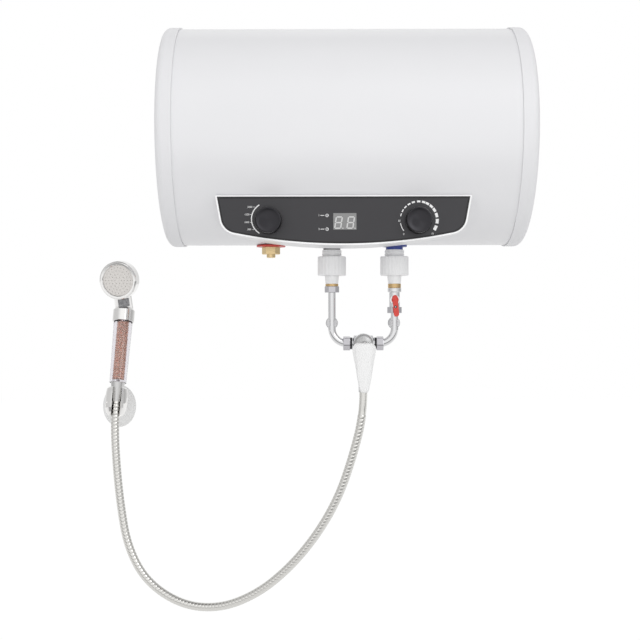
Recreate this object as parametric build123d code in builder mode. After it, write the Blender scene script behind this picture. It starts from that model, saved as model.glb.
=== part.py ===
"""Horizontal wall-hung storage water heater with its mixer, shower hose, hand shower and holder.

Millimetres. +X runs to the viewer's right, +Y into the wall and +Z up. The origin is the middle
of the two wall bolts, in the wall's plane. Most pieces are placed from the tank's own axis, which
lies a little in front of the wall and below the bolts.
"""

import math
import os

from build123d import *

# Where the tank hangs
wall_gap = 15.0
bolt_line_height = 90.0
bolt_spacing = 280.0

# Outer jacket
shell_radius = 170.0
shell_wall = 0.8
cap_seam = 256.0
cap_overlap = 8.0
cap_wall = 2.0
cap_clearance = 0.2
cap_rim_length = 13.0
cap_corner_radius = 11.0
cap_crown = 5.0

# Inner tank
tank_radius = 152.0
tank_wall = 2.0
tank_half_straight = 205.0
dish_depth = 42.0
foam_end = 258.0

# Clearances between pieces
fit = 0.1
seat_gap = 0.3

# Flange at the right-hand end
flange_radius = 52.0
flange_bore = 36.0
neck_end = 252.0
neck_inside = 14.0
gasket_thickness = 3.0
flange_thickness = 4.0
flange_bolt_circle = 44.0
flange_bolt_radius = 3.0
flange_bolt_reach = 10.0
flange_bolt_head = 4.0
flange_bolt_head_radius = 5.8
element_radius = 4.25
element_spread = 16.0
element_height = -14.0
element_reach = 200.0
terminal_length = 8.0
anode_radius = 8.0
anode_height = 16.0
anode_length = 170.0
anode_stud_radius = 3.0
pocket_height = -29.0
pocket_radius = 4.5
pocket_bore = 3.4
pocket_length = 140.0
bulb_radius = 3.2
bulb_length = 130.0
cutout_size = (20.0, 16.0, 14.0)
loom_radius = 3.0
loom_bend = 10.0
loom_track = 160.0
loom_exit_x = 60.0
loom_out = 15.0

# Hangers and spacers at the back
hanger_width = 40.0
hanger_height = 60.0
hanger_steel = 4.0
hanger_hole_radius = 5.0
spacer_radius = 15.0

# Gland for the supply lead, low at the back
gland_x = 200.0
gland_radius = 11.0
gland_bore = 4.0
gland_height = 12.0

# Control panel
panel_centre_x = -4.8
panel_front = 137.0
panel_top = -107.6
panel_half_top = 187.0
panel_side_height = 49.7
panel_half_bottom = 178.0
panel_bottom = -176.8
panel_corner_radius = 24.0
panel_trim = 2.2
panel_proud = 1.0
panel_wall = 4.0
panel_back = 25.0
panel_taper = 0.89
fascia_thickness = 2.5
knob_spread = 110.8
knob_height = -143.2
knob_radius = 19.2
knob_face_radius = 17.8
knob_depth = 17.0
knob_gap = 0.6
knob_dish = 0.8
shaft_radius = 3.0
shaft_hole = 3.05
bushing_radius = 4.9
bushing_proud = 4.0
switch_size = (30.0, 28.0, 22.0)
thermostat_size = (36.0, 28.0, 22.0)
window_x = -2.9
window_z = -144.2
window_width = 34.4
window_height = 24.5
window_proud = 0.3
board_width = 70.0
board_height = 38.0
board_thickness = 1.6
module_depth = 4.0
lamp_x = -29.3
lamp_heights = (-135.4, -155.6)
lamp_radius = 2.0

# Water connections under the tank
drain_x = -118.0
hot_x = -20.8
port_spacing = 100.0
nipple_radius = 10.5
nipple_bore = 7.6
nipple_end = -186.0
drain_nipple_end = -179.0
jacket_hole = 13.0
ring_gap = 0.3
ring_thickness = 2.6
drain_ring_radius = 23.0
cold_ring_radius = 20.0
hot_ring_radius = 17.0
ring_collar_radius = 13.5
ring_collar_end = -177.8
plug_flats = 25.0
plug_top = -173.5
plug_bottom = -185.0
plug_tip_radius = 7.0
plug_tip_bottom = -190.2
union_neck_radius = 15.0
union_rib = 0.7
union_tube_radius = 13.0
union_nut_radius = 23.2
union_nut_sides = 10
union_nut_top = -188.4
union_nut_bottom = -218.9
union_tail_radius = 11.2
union_tail_end_radius = 10.0
union_tail_bottom = -232.1
brass_radius = 8.0
brass_bore = 6.5
brass_collar_radius = 10.4
hot_brass_bottom = -235.8
cold_brass_bottom = -238.4
brass_thread = 8.0

# Copper pipes and their nuts
pipe_radius = 6.0
pipe_bore = 5.0
pipe_bend = 24.0
pipe_run_height = -327.1
nut_radius = 12.0
nut_turn = 46.5
nut_thickness = 10.0
mixer_nut_thickness = 11.0
mixer_nut_reach = 4.6
nut_bore = 7.6
clip_height = -294.5
clip_disc_radius = 9.8
clip_disc_thickness = 4.0
clip_stand = 4.0
clip_wall = 2.2
clip_width = 10.0

# Ball valve in the cold line
valve_collar_radius = 10.9
valve_collar_bottom = -245.7
valve_body_radius = 8.5
valve_thread_radius = 8.0
valve_body_bottom = -268.8
valve_thread_bottom = -273.0
valve_bore = 4.0
valve_height = -257.9
ball_radius = 6.0
ball_clearance = 0.3
stem_radius = 3.0
boss_radius = 7.6
boss_front = 15.0
lever_thickness = 4.0
lever_cap = 1.2
lever_front = 22.0
lever_width = 8.4
lever_above = 7.5
lever_below = 26.8
lever_tilt = 4.5
lever_hub_radius = 5.6
lever_dimple = 1.6
stem_depth = 0.5

# Mixer
mixer_barrel_radius = 13.0
mixer_thread_radius = 9.0
mixer_thread_length = 9.0
mixer_housing_radius = 16.1
mixer_back = 14.0
mixer_front = 16.0
mixer_chamber_radius = 13.0
mixer_bore = 5.0
outlet_radius = 10.0
outlet_bottom = -352.0
outlet_thread_radius = 8.0
outlet_thread = 10.0
outlet_bore = 6.0
cartridge_depth = 20.0
bonnet_radius = 15.3
bonnet_front = 28.0
bonnet_seat = 3.0
spindle_radius = 3.0
spindle_ball = 4.5
lift_pivot = 36.0
handle_front = 46.0
handle_back = 31.0
handle_top = 5.5
handle_drop = 77.0
handle_half_widths = ((5.5, 9.0), (2.5, 14.8), (-8.0, 18.4), (-26.0, 15.6), (-38.0, 13.4), (-50.0, 11.6))
handle_tip_half = 7.7
handle_tip_thickness = 6.0
handle_bevel = 2.5

# Hose ends
hose_nut_radius = 12.0
hose_nut_length = 16.0
sleeve_top_radius = 10.5
sleeve_end_radius = 7.8
hose_start_height = -405.0
cone_top_radius = 12.0
cone_end_radius = 6.9
cone_length = 33.0
cone_socket_depth = 10.0

# Ribbed hose: route points from the tank's axis, from the mixer to the hand shower
hose_radius = 7.0
hose_valley_radius = 6.3
hose_bore = 4.4
rib_pitch = 6.0
hose_plain_end = 14.0
hose_route = [
    (29.2, 0, -405),
    (29.2, 0, -441),
    (11.9, 4, -509.8),
    (-11.1, 9, -576.4),
    (-46, 16, -637.3),
    (-89.6, 25, -690.9),
    (-140.8, 36, -734.9),
    (-202.5, 49, -762.8),
    (-268.4, 63, -761.6),
    (-329.9, 75, -725.3),
    (-362.7, 84, -668.3),
    (-376, 92, -597.7),
    (-383.7, 97, -529),
    (-388.2, 105.6, -462.1),
    (-386.6, 114, -428.2),
]
arc_share = 0.45

# Hand shower, along its own leaning axis from the lower end of the clear handle
grip_foot = (-385.2, 122.0, -396.2)
grip_lean_right = 0.045
grip_lean_back = 0.2493
face_yaw = 9.0
face_tilt = 22.0
face_height = 168.4
face_forward = 45.5
tube_foot_radius = 14.2
tube_top_radius = 16.2
tube_bore = 10.6
tube_floor = 4.0
tube_spigot_radius = 8.0
tube_spigot_bore = 4.0
beads_radius = 10.0
collar_radius = 18.5
collar_start = 107.5
collar_end = 127.0
collar_depth = 7.0
neck_radius = 15.6
neck_start = 131.0
neck_top_radius = 14.5
neck_aim = 16.0
water_way = 8.0
head_radius = 32.6
head_back = 36.0
head_rim = 17.0
head_cavity_radius = 28.8
head_cavity_depth = 18.0
face_ring_width = 5.1
face_ring_depth = 5.0
plate_thickness = 2.0
plate_inset = 1.2
spray_hole_radius = 0.6
spray_rows = ((5.5, 6), (11.0, 12), (16.5, 18), (22.0, 24))

# Wall holder
holder_x = -393.5
holder_z = -440.4
dome_width = 58.2
dome_height = 73.7
dome_depth = 20.0
fork_top = -9.0
fork_foot = -56.0
fork_slot = 15.2
fork_cone_gap = 0.35
fork_channel = 9.6
fork_arm_radius = 18.6
fork_pin_hole = 1.3
fork_pin_spread = 15.6
fork_pin_height = -36.5
fork_turn = 10.0
holder_neck_radius = 8.0
holder_neck_sink = 6.0

# Lines and planes that everything is placed by
axis_y = -(shell_radius + wall_gap)
axis_z = -bolt_line_height
wall_y = shell_radius + wall_gap
cold_x = hot_x + port_spacing
mixer_x = (hot_x + cold_x) / 2
cap_inner_radius = shell_radius + cap_clearance
cap_outer_radius = cap_inner_radius + cap_wall
shell_half_length = cap_seam + cap_overlap
cap_shoulder = cap_seam + cap_rim_length + cap_corner_radius


def at(x, y, z):
    """A point given from the tank's axis, in the part's frame."""
    return (x, axis_y + y, axis_z + z)


def upright(x=0.0, y=0.0, z=0.0):
    """Plane with its normal up: outlines about it are (radius, height)."""
    return Plane(origin=at(x, y, z), x_dir=(1, 0, 0), z_dir=(0, 0, 1))


def facing(x=0.0, z=0.0, depth=0.0):
    """Plane that faces the viewer, its x to the right and its y up."""
    return Plane(origin=at(x, -depth, z), x_dir=(1, 0, 0), z_dir=(0, -1, 0))


def lengthwise(x=0.0, y=0.0, z=0.0):
    """Plane whose normal runs to the right along the tank."""
    return Plane(origin=at(x, y, z), x_dir=(0, 1, 0), z_dir=(1, 0, 0))


def spin_axis(plane):
    """A plane's own normal, as an axis to turn about."""
    return Axis(plane.origin, plane.z_dir)


def section(plane, *outline):
    """Closed (radius, height) outline on the half-plane through a plane's normal."""
    side = Plane(origin=plane.origin, x_dir=plane.x_dir, z_dir=plane.y_dir * -1)
    with BuildSketch(side) as profile:
        with BuildLine():
            Polyline(*outline, close=True)
        make_face()
    return profile.sketch


tank_line = lengthwise()
front = facing()
base = upright()
hot_port = upright(hot_x)
cold_port = upright(cold_x)
drain_port = upright(drain_x)


def cap_blank(radius, end, corner):
    """Domed drum about the tank's axis that starts at the cap's seam."""
    side = Plane(origin=tank_line.origin, x_dir=tank_line.x_dir, z_dir=tank_line.y_dir * -1)
    with BuildPart() as blank:
        with BuildSketch(side):
            with BuildLine():
                Polyline((0, end + cap_crown), (0, cap_seam), (radius, cap_seam), (radius, end))
                ThreePointArc((radius, end), (radius / 2, end + 0.75 * cap_crown), (0, end + cap_crown))
            make_face()
        revolve(axis=spin_axis(tank_line))
        rims = blank.edges().filter_by(GeomType.CIRCLE).sort_by(SortBy.LENGTH)[-2:]
        fillet(rims.sort_by(Axis.X)[-1], radius=corner)
    return blank.part


def tank_blank(inset):
    """Drum with dished ends, drawn in from the tank's outside by an inset."""
    radius = tank_radius - inset
    straight = tank_half_straight
    depth = dish_depth - inset
    bulge = straight + 0.75 * depth
    side = Plane(origin=tank_line.origin, x_dir=tank_line.x_dir, z_dir=tank_line.y_dir * -1)
    with BuildPart() as blank:
        with BuildSketch(side):
            with BuildLine():
                Line((radius, -straight), (radius, straight))
                ThreePointArc((radius, straight), (radius / 2, bulge), (0, straight + depth))
                Line((0, straight + depth), (0, -straight - depth))
                ThreePointArc((0, -straight - depth), (radius / 2, -bulge), (radius, -straight))
            make_face()
        revolve(axis=spin_axis(tank_line))
    return blank.part


tank_outside = tank_blank(0.0)
hanger_xs = (-bolt_spacing / 2, bolt_spacing / 2)
gasket_start = neck_end
plate_start = gasket_start + gasket_thickness
plate_end = plate_start + flange_thickness
terminal_end = plate_end + terminal_length
cutout_middle = plate_end + cutout_size[2] / 2


def hanger_webs(grow):
    """The four webs that carry the wall plates, thickened by a clearance."""
    half = hanger_height / 2
    inside = tank_radius * 0.9
    with BuildPart() as webs:
        for hanger_x in hanger_xs:
            for side in (-1, 1):
                middle = hanger_x + side * (hanger_width - hanger_steel) / 2
                with BuildSketch(lengthwise(middle)):
                    with BuildLine():
                        Polyline(
                            (wall_y - hanger_steel / 2, bolt_line_height + half + grow),
                            (wall_y - hanger_steel / 2, bolt_line_height - half - grow),
                            (inside, bolt_line_height - half - grow),
                            (tank_radius * 0.6, bolt_line_height + half + grow),
                            close=True,
                        )
                    make_face()
                extrude(amount=hanger_steel / 2 + grow, both=True)
    return webs.part


diagonal = math.sqrt(0.5)
loom_y = -loom_track * diagonal
loom_out_y = -(shell_radius + loom_out) * diagonal + loom_radius
loom_plane_x = cutout_middle + 1.0
loom_start_height = cutout_size[1] / 4


def loom_solid(radius):
    """Wires from the cut-out, along the front of the tank and out behind the panel."""
    with BuildPart() as wires:
        with BuildLine() as run:
            FilletPolyline(
                at(loom_plane_x, -cutout_size[0] / 2, loom_start_height),
                at(loom_plane_x, loom_y, loom_start_height),
                at(loom_plane_x, loom_y, loom_y),
                at(loom_exit_x, loom_y, loom_y),
                at(loom_exit_x, loom_out_y, loom_out_y),
                radius=loom_bend,
            )
        with BuildSketch(Plane(origin=run.line @ 0, z_dir=run.line % 0)):
            Circle(radius)
        sweep()
    return wires.part


gland_plane = Plane(
    origin=at(gland_x, shell_radius * diagonal, -shell_radius * diagonal),
    x_dir=(1, 0, 0),
    z_dir=(0, diagonal, -diagonal),
)

# Painted steel jacket
with BuildPart() as shell:
    with BuildSketch(tank_line.offset(-shell_half_length)):
        Circle(shell_radius)
        Circle(shell_radius - shell_wall, mode=Mode.SUBTRACT)
    extrude(amount=2 * shell_half_length)
    with BuildSketch(base.offset(-shell_radius - 1)):
        with Locations((drain_x, 0), (hot_x, 0), (cold_x, 0)):
            Circle(jacket_hole)
    extrude(amount=shell_radius / 4, mode=Mode.SUBTRACT)
    add(hanger_webs(fit), mode=Mode.SUBTRACT)
    add(loom_solid(loom_radius + fit), mode=Mode.SUBTRACT)
    with BuildSketch(gland_plane.offset(-shell_radius / 8)):
        Circle(gland_radius * 0.6)
    extrude(amount=shell_radius / 4, mode=Mode.SUBTRACT)

# Moulded end caps
with BuildPart() as right_cap:
    add(cap_blank(cap_outer_radius, cap_shoulder, cap_corner_radius))
    add(
        cap_blank(cap_inner_radius, cap_shoulder - cap_wall, cap_corner_radius - cap_wall),
        mode=Mode.SUBTRACT,
    )

with BuildPart() as left_cap:
    add(mirror(right_cap.part, about=Plane.YZ, mode=Mode.PRIVATE))

# Pressure tank with its nipples and flange neck
with BuildPart() as inner_tank:
    add(tank_outside)
    with BuildSketch(tank_line.offset(neck_end - neck_inside)):
        Circle(flange_radius)
    extrude(amount=neck_inside)
    for port_x, port_end in ((drain_x, drain_nipple_end), (hot_x, nipple_end), (cold_x, nipple_end)):
        with BuildSketch(upright(port_x, 0, port_end)):
            Circle(nipple_radius)
        extrude(amount=-port_end - tank_radius + tank_wall + 2)
    add(tank_blank(tank_wall), mode=Mode.SUBTRACT)
    with BuildSketch(tank_line.offset(neck_end - 2 * neck_inside)):
        Circle(flange_bore)
    extrude(amount=2 * neck_inside, mode=Mode.SUBTRACT)
    with BuildSketch(tank_line.offset(neck_end - flange_bolt_reach)):
        with PolarLocations(flange_bolt_circle, 6):
            Circle(flange_bolt_radius + fit)
    extrude(amount=flange_bolt_reach, mode=Mode.SUBTRACT)
    for port_x, port_end in ((drain_x, drain_nipple_end), (hot_x, nipple_end), (cold_x, nipple_end)):
        with BuildSketch(upright(port_x, 0, port_end)):
            Circle(nipple_bore)
        extrude(amount=-port_end - tank_radius + 4 * tank_wall, mode=Mode.SUBTRACT)

# Insulation
with BuildPart() as foam_jacket:
    with BuildSketch(tank_line.offset(-foam_end)):
        Circle(shell_radius - shell_wall)
    extrude(amount=2 * foam_end)
    add(tank_outside, mode=Mode.SUBTRACT)
    with BuildSketch(tank_line.offset(neck_end - neck_inside)):
        Circle(flange_radius + 2)
    extrude(amount=shell_radius, mode=Mode.SUBTRACT)
    with BuildSketch(base.offset(-shell_radius - 1)):
        with Locations((drain_x, 0), (hot_x, 0), (cold_x, 0)):
            Circle(jacket_hole)
    extrude(amount=shell_radius / 4, mode=Mode.SUBTRACT)
    add(hanger_webs(fit), mode=Mode.SUBTRACT)
    add(loom_solid(loom_radius + fit), mode=Mode.SUBTRACT)
    with BuildSketch(gland_plane.offset(-shell_radius / 10)):
        Circle(gland_radius)
    extrude(amount=shell_radius / 5, mode=Mode.SUBTRACT)

# Welded hangers with a round hole for each wall bolt
with BuildPart() as hanger_brackets:
    add(hanger_webs(0.0))
    add(tank_outside, mode=Mode.SUBTRACT)
    with BuildSketch(facing(0, bolt_line_height, -wall_y)):
        with Locations(*[(hanger_x, 0) for hanger_x in hanger_xs]):
            Rectangle(hanger_width, hanger_height)
            Circle(hanger_hole_radius, mode=Mode.SUBTRACT)
    extrude(amount=hanger_steel)

# Spacers that hold the jacket off the wall
with BuildPart() as wall_spacers:
    with BuildSketch(facing(0, 0, -wall_y)):
        with Locations(*[(hanger_x, 0) for hanger_x in hanger_xs]):
            Circle(spacer_radius)
    extrude(amount=wall_gap + 2)
    with BuildSketch(tank_line.offset(-shell_half_length)):
        Circle(shell_radius)
    extrude(amount=2 * shell_half_length, mode=Mode.SUBTRACT)

# Heater flange group
with BuildPart() as flange_gasket:
    with BuildSketch(tank_line.offset(gasket_start)):
        Circle(flange_radius)
        Circle(flange_bore, mode=Mode.SUBTRACT)
        with PolarLocations(flange_bolt_circle, 6):
            Circle(flange_bolt_radius + fit, mode=Mode.SUBTRACT)
    extrude(amount=gasket_thickness)

with BuildPart() as heater_flange:
    with BuildSketch(tank_line.offset(plate_start)):
        Circle(flange_radius)
        with PolarLocations(flange_bolt_circle, 6):
            Circle(flange_bolt_radius + fit, mode=Mode.SUBTRACT)
        with Locations((-element_spread, element_height), (element_spread, element_height)):
            Circle(element_radius + fit, mode=Mode.SUBTRACT)
        with Locations((0, anode_height)):
            Circle(anode_stud_radius + fit, mode=Mode.SUBTRACT)
    extrude(amount=flange_thickness)
    with BuildSketch(tank_line.offset(plate_start)):
        with Locations((0, pocket_height)):
            Circle(pocket_radius)
    extrude(amount=-pocket_length)
    with BuildSketch(tank_line.offset(plate_end)):
        with Locations((0, pocket_height)):
            Circle(pocket_bore)
    extrude(amount=-pocket_length, mode=Mode.SUBTRACT)

with BuildPart() as flange_bolts:
    with BuildSketch(tank_line.offset(plate_end)):
        with PolarLocations(flange_bolt_circle, 6):
            RegularPolygon(flange_bolt_head_radius, 6)
    extrude(amount=flange_bolt_head)
    with BuildSketch(tank_line.offset(plate_end)):
        with PolarLocations(flange_bolt_circle, 6):
            Circle(flange_bolt_radius)
    extrude(amount=-(flange_thickness + gasket_thickness + flange_bolt_reach - seat_gap))

with BuildPart() as heating_element:
    with BuildLine() as element_run:
        near = at(terminal_end, -element_spread, element_height)
        near_bend = at(plate_start - element_reach, -element_spread, element_height)
        tip = at(plate_start - element_reach - element_spread, 0, element_height)
        far_bend = at(plate_start - element_reach, element_spread, element_height)
        far = at(terminal_end, element_spread, element_height)
        Line(near, near_bend)
        ThreePointArc(near_bend, tip, far_bend)
        Line(far_bend, far)
    with BuildSketch(Plane(origin=near, z_dir=(-1, 0, 0))):
        Circle(element_radius)
    sweep()

with BuildPart() as anode_rod:
    with BuildSketch(lengthwise(plate_start, 0, anode_height)):
        Circle(anode_radius)
    extrude(amount=-anode_length)
    with BuildSketch(lengthwise(plate_start, 0, anode_height)):
        Circle(anode_stud_radius)
    extrude(amount=flange_thickness + flange_bolt_head)

with BuildPart() as thermostat_bulb:
    with BuildSketch(lengthwise(plate_end + flange_bolt_head, 0, pocket_height)):
        Circle(bulb_radius)
    extrude(amount=-bulb_length)

with BuildPart() as thermal_cutout:
    with BuildSketch(tank_line.offset(plate_end)):
        Rectangle(cutout_size[0], cutout_size[1])
    extrude(amount=cutout_size[2])

with BuildPart() as wiring_loom:
    add(loom_solid(loom_radius))

with BuildPart() as cable_gland:
    revolve(
        section(
            gland_plane,
            (gland_bore, -gland_height),
            (gland_radius * 0.6 - fit, -gland_height),
            (gland_radius * 0.6 - fit, seat_gap),
            (gland_radius, seat_gap),
            (gland_radius, gland_height / 3),
            (gland_radius * 0.75, gland_height / 3),
            (gland_radius * 0.6, gland_height),
            (gland_bore, gland_height),
        ),
        axis=spin_axis(gland_plane),
    )

# Tubes inside the tank: hot water leaves from the top, cold water enters low
with BuildPart() as outlet_tube:
    with BuildSketch(upright(hot_x, 0, nipple_end + nipple_radius)):
        Circle(nipple_bore - fit)
        Circle(nipple_bore - 1.0 - fit, mode=Mode.SUBTRACT)
    extrude(amount=-nipple_end - nipple_radius + tank_radius * 0.9)

with BuildPart() as inlet_tube:
    with BuildSketch(upright(cold_x, 0, nipple_end + nipple_radius)):
        Circle(nipple_bore - fit)
    extrude(amount=-nipple_end - nipple_radius - tank_radius * 0.75)
    with BuildSketch(upright(cold_x, 0, nipple_end + nipple_radius)):
        Circle(nipple_bore - 1.0 - fit)
    extrude(amount=-nipple_end - nipple_radius - tank_radius * 0.75 - 2, mode=Mode.SUBTRACT)
    with BuildSketch(facing(cold_x, -tank_radius * 0.8, -shell_radius / 4)):
        Circle(nipple_bore / 2)
    extrude(amount=shell_radius / 2, mode=Mode.SUBTRACT)


def panel_outline(plane, grow):
    """Outline of the fascia on a plane that faces the viewer, grown by a margin."""
    side_foot = panel_top - panel_side_height
    with BuildSketch(plane) as outline:
        with BuildLine():
            Polyline(
                (panel_centre_x - panel_half_bottom, side_foot),
                (panel_centre_x - panel_half_top, panel_top),
                (panel_centre_x + panel_half_top, panel_top),
                (panel_centre_x + panel_half_bottom, side_foot),
            )
            ThreePointArc(
                (panel_centre_x + panel_half_bottom, side_foot),
                (panel_centre_x, panel_bottom),
                (panel_centre_x - panel_half_bottom, side_foot),
            )
        make_face()
        fillet(outline.vertices().sort_by(Axis.Y)[:2], radius=panel_corner_radius)
        if grow:
            offset(amount=grow, kind=Kind.INTERSECTION)
    return outline.sketch


# Chin housing under the front of the jacket
fascia_back = panel_front - fascia_thickness
with BuildPart() as panel_housing:
    extrude(
        panel_outline(front.offset(panel_front + panel_proud), panel_trim),
        amount=-(panel_front + panel_proud - panel_back),
        taper=panel_taper,
    )
    extrude(
        panel_outline(front.offset(fascia_back), -panel_wall + panel_trim),
        amount=-(fascia_back - panel_back - panel_wall),
        mode=Mode.SUBTRACT,
    )
    extrude(
        panel_outline(front.offset(panel_front + panel_proud), fit),
        amount=-(fascia_thickness + panel_proud),
        mode=Mode.SUBTRACT,
    )
    with BuildSketch(tank_line.offset(-shell_half_length)):
        Circle(shell_radius)
    extrude(amount=2 * shell_half_length, mode=Mode.SUBTRACT)

power_x = panel_centre_x - knob_spread
temperature_x = panel_centre_x + knob_spread
power_plane = facing(power_x, knob_height)
temperature_plane = facing(temperature_x, knob_height)

with BuildPart() as fascia:
    extrude(panel_outline(front.offset(panel_front), 0), amount=-fascia_thickness)
    with BuildSketch(front.offset(panel_front)):
        with Locations((power_x, knob_height), (temperature_x, knob_height)):
            Circle(bushing_radius + fit)
        with Locations((window_x, window_z)):
            Rectangle(window_width, window_height)
        with Locations(*[(lamp_x, lamp_z) for lamp_z in lamp_heights]):
            Circle(lamp_radius)
    extrude(amount=-fascia_thickness, mode=Mode.SUBTRACT)

with BuildPart() as display_window:
    with BuildSketch(front.offset(panel_front + window_proud)):
        with Locations((window_x, window_z)):
            Rectangle(window_width - 2 * fit, window_height - 2 * fit)
    extrude(amount=-(fascia_thickness + window_proud))

with BuildPart() as display_board:
    with BuildSketch(front.offset(fascia_back - module_depth)):
        with Locations(((window_x + lamp_x) / 2, window_z)):
            Rectangle(board_width, board_height)
    extrude(amount=-board_thickness)
    with BuildSketch(front.offset(fascia_back)):
        with Locations((window_x, window_z)):
            Rectangle(window_width + 2, window_height + 2)
    extrude(amount=-module_depth)

with BuildPart() as indicator_lenses:
    with BuildSketch(front.offset(panel_front + window_proud)):
        with Locations(*[(lamp_x, lamp_z) for lamp_z in lamp_heights]):
            Circle(lamp_radius - fit)
    extrude(amount=-(fascia_thickness + window_proud + module_depth))


def control_body(plane, size):
    """Switch or thermostat behind the fascia, with its threaded bushing through it."""
    with BuildPart() as body:
        with BuildSketch(plane.offset(fascia_back)):
            Rectangle(size[0], size[1])
        extrude(amount=-size[2])
        with BuildSketch(plane.offset(fascia_back)):
            Circle(bushing_radius)
        extrude(amount=fascia_thickness + bushing_proud)
        with BuildSketch(plane.offset(panel_front + bushing_proud)):
            Circle(shaft_hole)
        extrude(amount=-(fascia_thickness + bushing_proud + size[2] / 2), mode=Mode.SUBTRACT)
    return body


def control_shaft(plane, size):
    """Shaft from inside the switch to the knob."""
    with BuildPart() as shaft:
        with BuildSketch(plane.offset(fascia_back - size[2] / 2 + seat_gap)):
            Circle(shaft_radius)
        extrude(amount=size[2] / 2 + fascia_thickness + knob_depth - seat_gap - 3 * knob_dish)
    return shaft


def control_knob(plane):
    """Turned knob with a shallow dished face and a hollow back over the bushing."""
    face = panel_front + knob_depth
    with BuildPart() as knob:
        revolve(
            section(
                plane,
                (shaft_radius + fit / 2, panel_front + bushing_proud + 1),
                (bushing_radius + 3, panel_front + bushing_proud + 1),
                (bushing_radius + 3, panel_front + knob_gap),
                (knob_radius, panel_front + knob_gap),
                (knob_radius, panel_front + knob_gap + 3),
                (knob_face_radius + 0.5, face - 1.2),
                (knob_face_radius, face),
                (knob_face_radius - 1.5, face),
                (0, face - knob_dish),
                (0, face - 3 * knob_dish),
                (shaft_radius + fit / 2, face - 3 * knob_dish),
            ),
            axis=spin_axis(plane),
        )
    return knob


power_switch = control_body(power_plane, switch_size)
power_shaft = control_shaft(power_plane, switch_size)
power_knob = control_knob(power_plane)
thermostat_body = control_body(temperature_plane, thermostat_size)
thermostat_shaft = control_shaft(temperature_plane, thermostat_size)
temperature_knob = control_knob(temperature_plane)

# Coloured rings round the nipples and the brass drain plug
ring_top = -shell_radius - ring_gap
ring_bottom = ring_top - ring_thickness


def port_ring(port, radius, collar_end):
    """Flanged ring that closes the jacket's hole round a nipple."""
    with BuildPart() as ring:
        revolve(
            section(
                port,
                (nipple_radius + fit, ring_top),
                (radius, ring_top),
                (radius, ring_bottom),
                (ring_collar_radius, ring_bottom),
                (ring_collar_radius, collar_end),
                (nipple_radius + fit, collar_end),
            ),
            axis=spin_axis(port),
        )
    return ring


drain_ring = port_ring(drain_port, drain_ring_radius, plug_top + fit)
hot_ring = port_ring(hot_port, hot_ring_radius, ring_collar_end)
cold_ring = port_ring(cold_port, cold_ring_radius, ring_collar_end)

with BuildPart() as drain_plug:
    with BuildSketch(drain_port.offset(plug_top)):
        RegularPolygon(plug_flats / 2, 6, major_radius=False)
    extrude(amount=plug_bottom - plug_top)
    chamfer(drain_plug.edges().group_by(Axis.Z)[0], length=1.0)
    with BuildSketch(drain_port.offset(plug_bottom)):
        Circle(plug_tip_radius)
    extrude(amount=plug_tip_bottom - plug_bottom)
    chamfer(drain_plug.edges().group_by(Axis.Z)[0], length=0.8)
    with BuildSketch(drain_port.offset(plug_top)):
        Circle(nipple_radius + fit)
    extrude(amount=drain_nipple_end - plug_top - seat_gap, mode=Mode.SUBTRACT)

# White insulating unions: neck, ten-sided nut and tail under each port
neck_top = ring_collar_end - fit
neck_step = nipple_end - seat_gap
neck_foot = union_nut_top - 0.6 * (union_nut_top - union_nut_bottom)
tail_flange = 4.0
union_nut_floor = neck_foot - fit - tail_flange - fit

with BuildPart() as union_necks:
    for port in (hot_port, cold_port):
        revolve(
            section(
                port,
                (nipple_radius + fit, neck_top),
                (union_neck_radius, neck_top),
                (union_neck_radius, neck_top - 2.0),
                (union_neck_radius + union_rib, neck_top - 2.4),
                (union_neck_radius + union_rib, neck_top - 3.8),
                (union_neck_radius, neck_top - 4.2),
                (union_neck_radius, neck_top - 6.2),
                (union_neck_radius + union_rib, neck_top - 6.6),
                (union_neck_radius + union_rib, neck_top - 8.0),
                (union_neck_radius, neck_top - 8.4),
                (union_neck_radius, union_nut_top + fit),
                (union_tube_radius, union_nut_top + fit),
                (union_tube_radius, neck_foot),
                (nipple_bore, neck_foot),
                (nipple_bore, neck_step),
                (nipple_radius + fit, neck_step),
            ),
            axis=spin_axis(port),
        )

with BuildPart() as union_nuts:
    for port in (hot_port, cold_port):
        with BuildSketch(port.offset(union_nut_top)):
            RegularPolygon(union_nut_radius, union_nut_sides)
        extrude(amount=union_nut_bottom - union_nut_top)
    chamfer(union_nuts.edges().group_by(Axis.Z)[0], length=1.6)
    chamfer(union_nuts.edges().group_by(Axis.Z)[-1], length=1.6)
    for port in (hot_port, cold_port):
        with BuildSketch(port.offset(union_nut_top)):
            Circle(union_tube_radius + fit)
        extrude(amount=union_nut_floor - union_nut_top, mode=Mode.SUBTRACT)
        with BuildSketch(port.offset(union_nut_floor)):
            Circle(union_tail_radius + fit)
        extrude(amount=union_nut_bottom - union_nut_floor, mode=Mode.SUBTRACT)

with BuildPart() as union_tails:
    for port in (hot_port, cold_port):
        revolve(
            section(
                port,
                (nipple_bore, neck_foot - fit),
                (union_tube_radius, neck_foot - fit),
                (union_tube_radius, neck_foot - fit - tail_flange),
                (union_tail_radius, neck_foot - fit - tail_flange),
                (union_tail_radius, union_nut_bottom - 2.0),
                (union_tail_end_radius, union_tail_bottom),
                (brass_radius + fit, union_tail_bottom),
                (brass_radius + fit, union_tail_bottom + brass_thread),
                (nipple_bore, union_tail_bottom + brass_thread),
            ),
            axis=spin_axis(port),
        )

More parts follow.
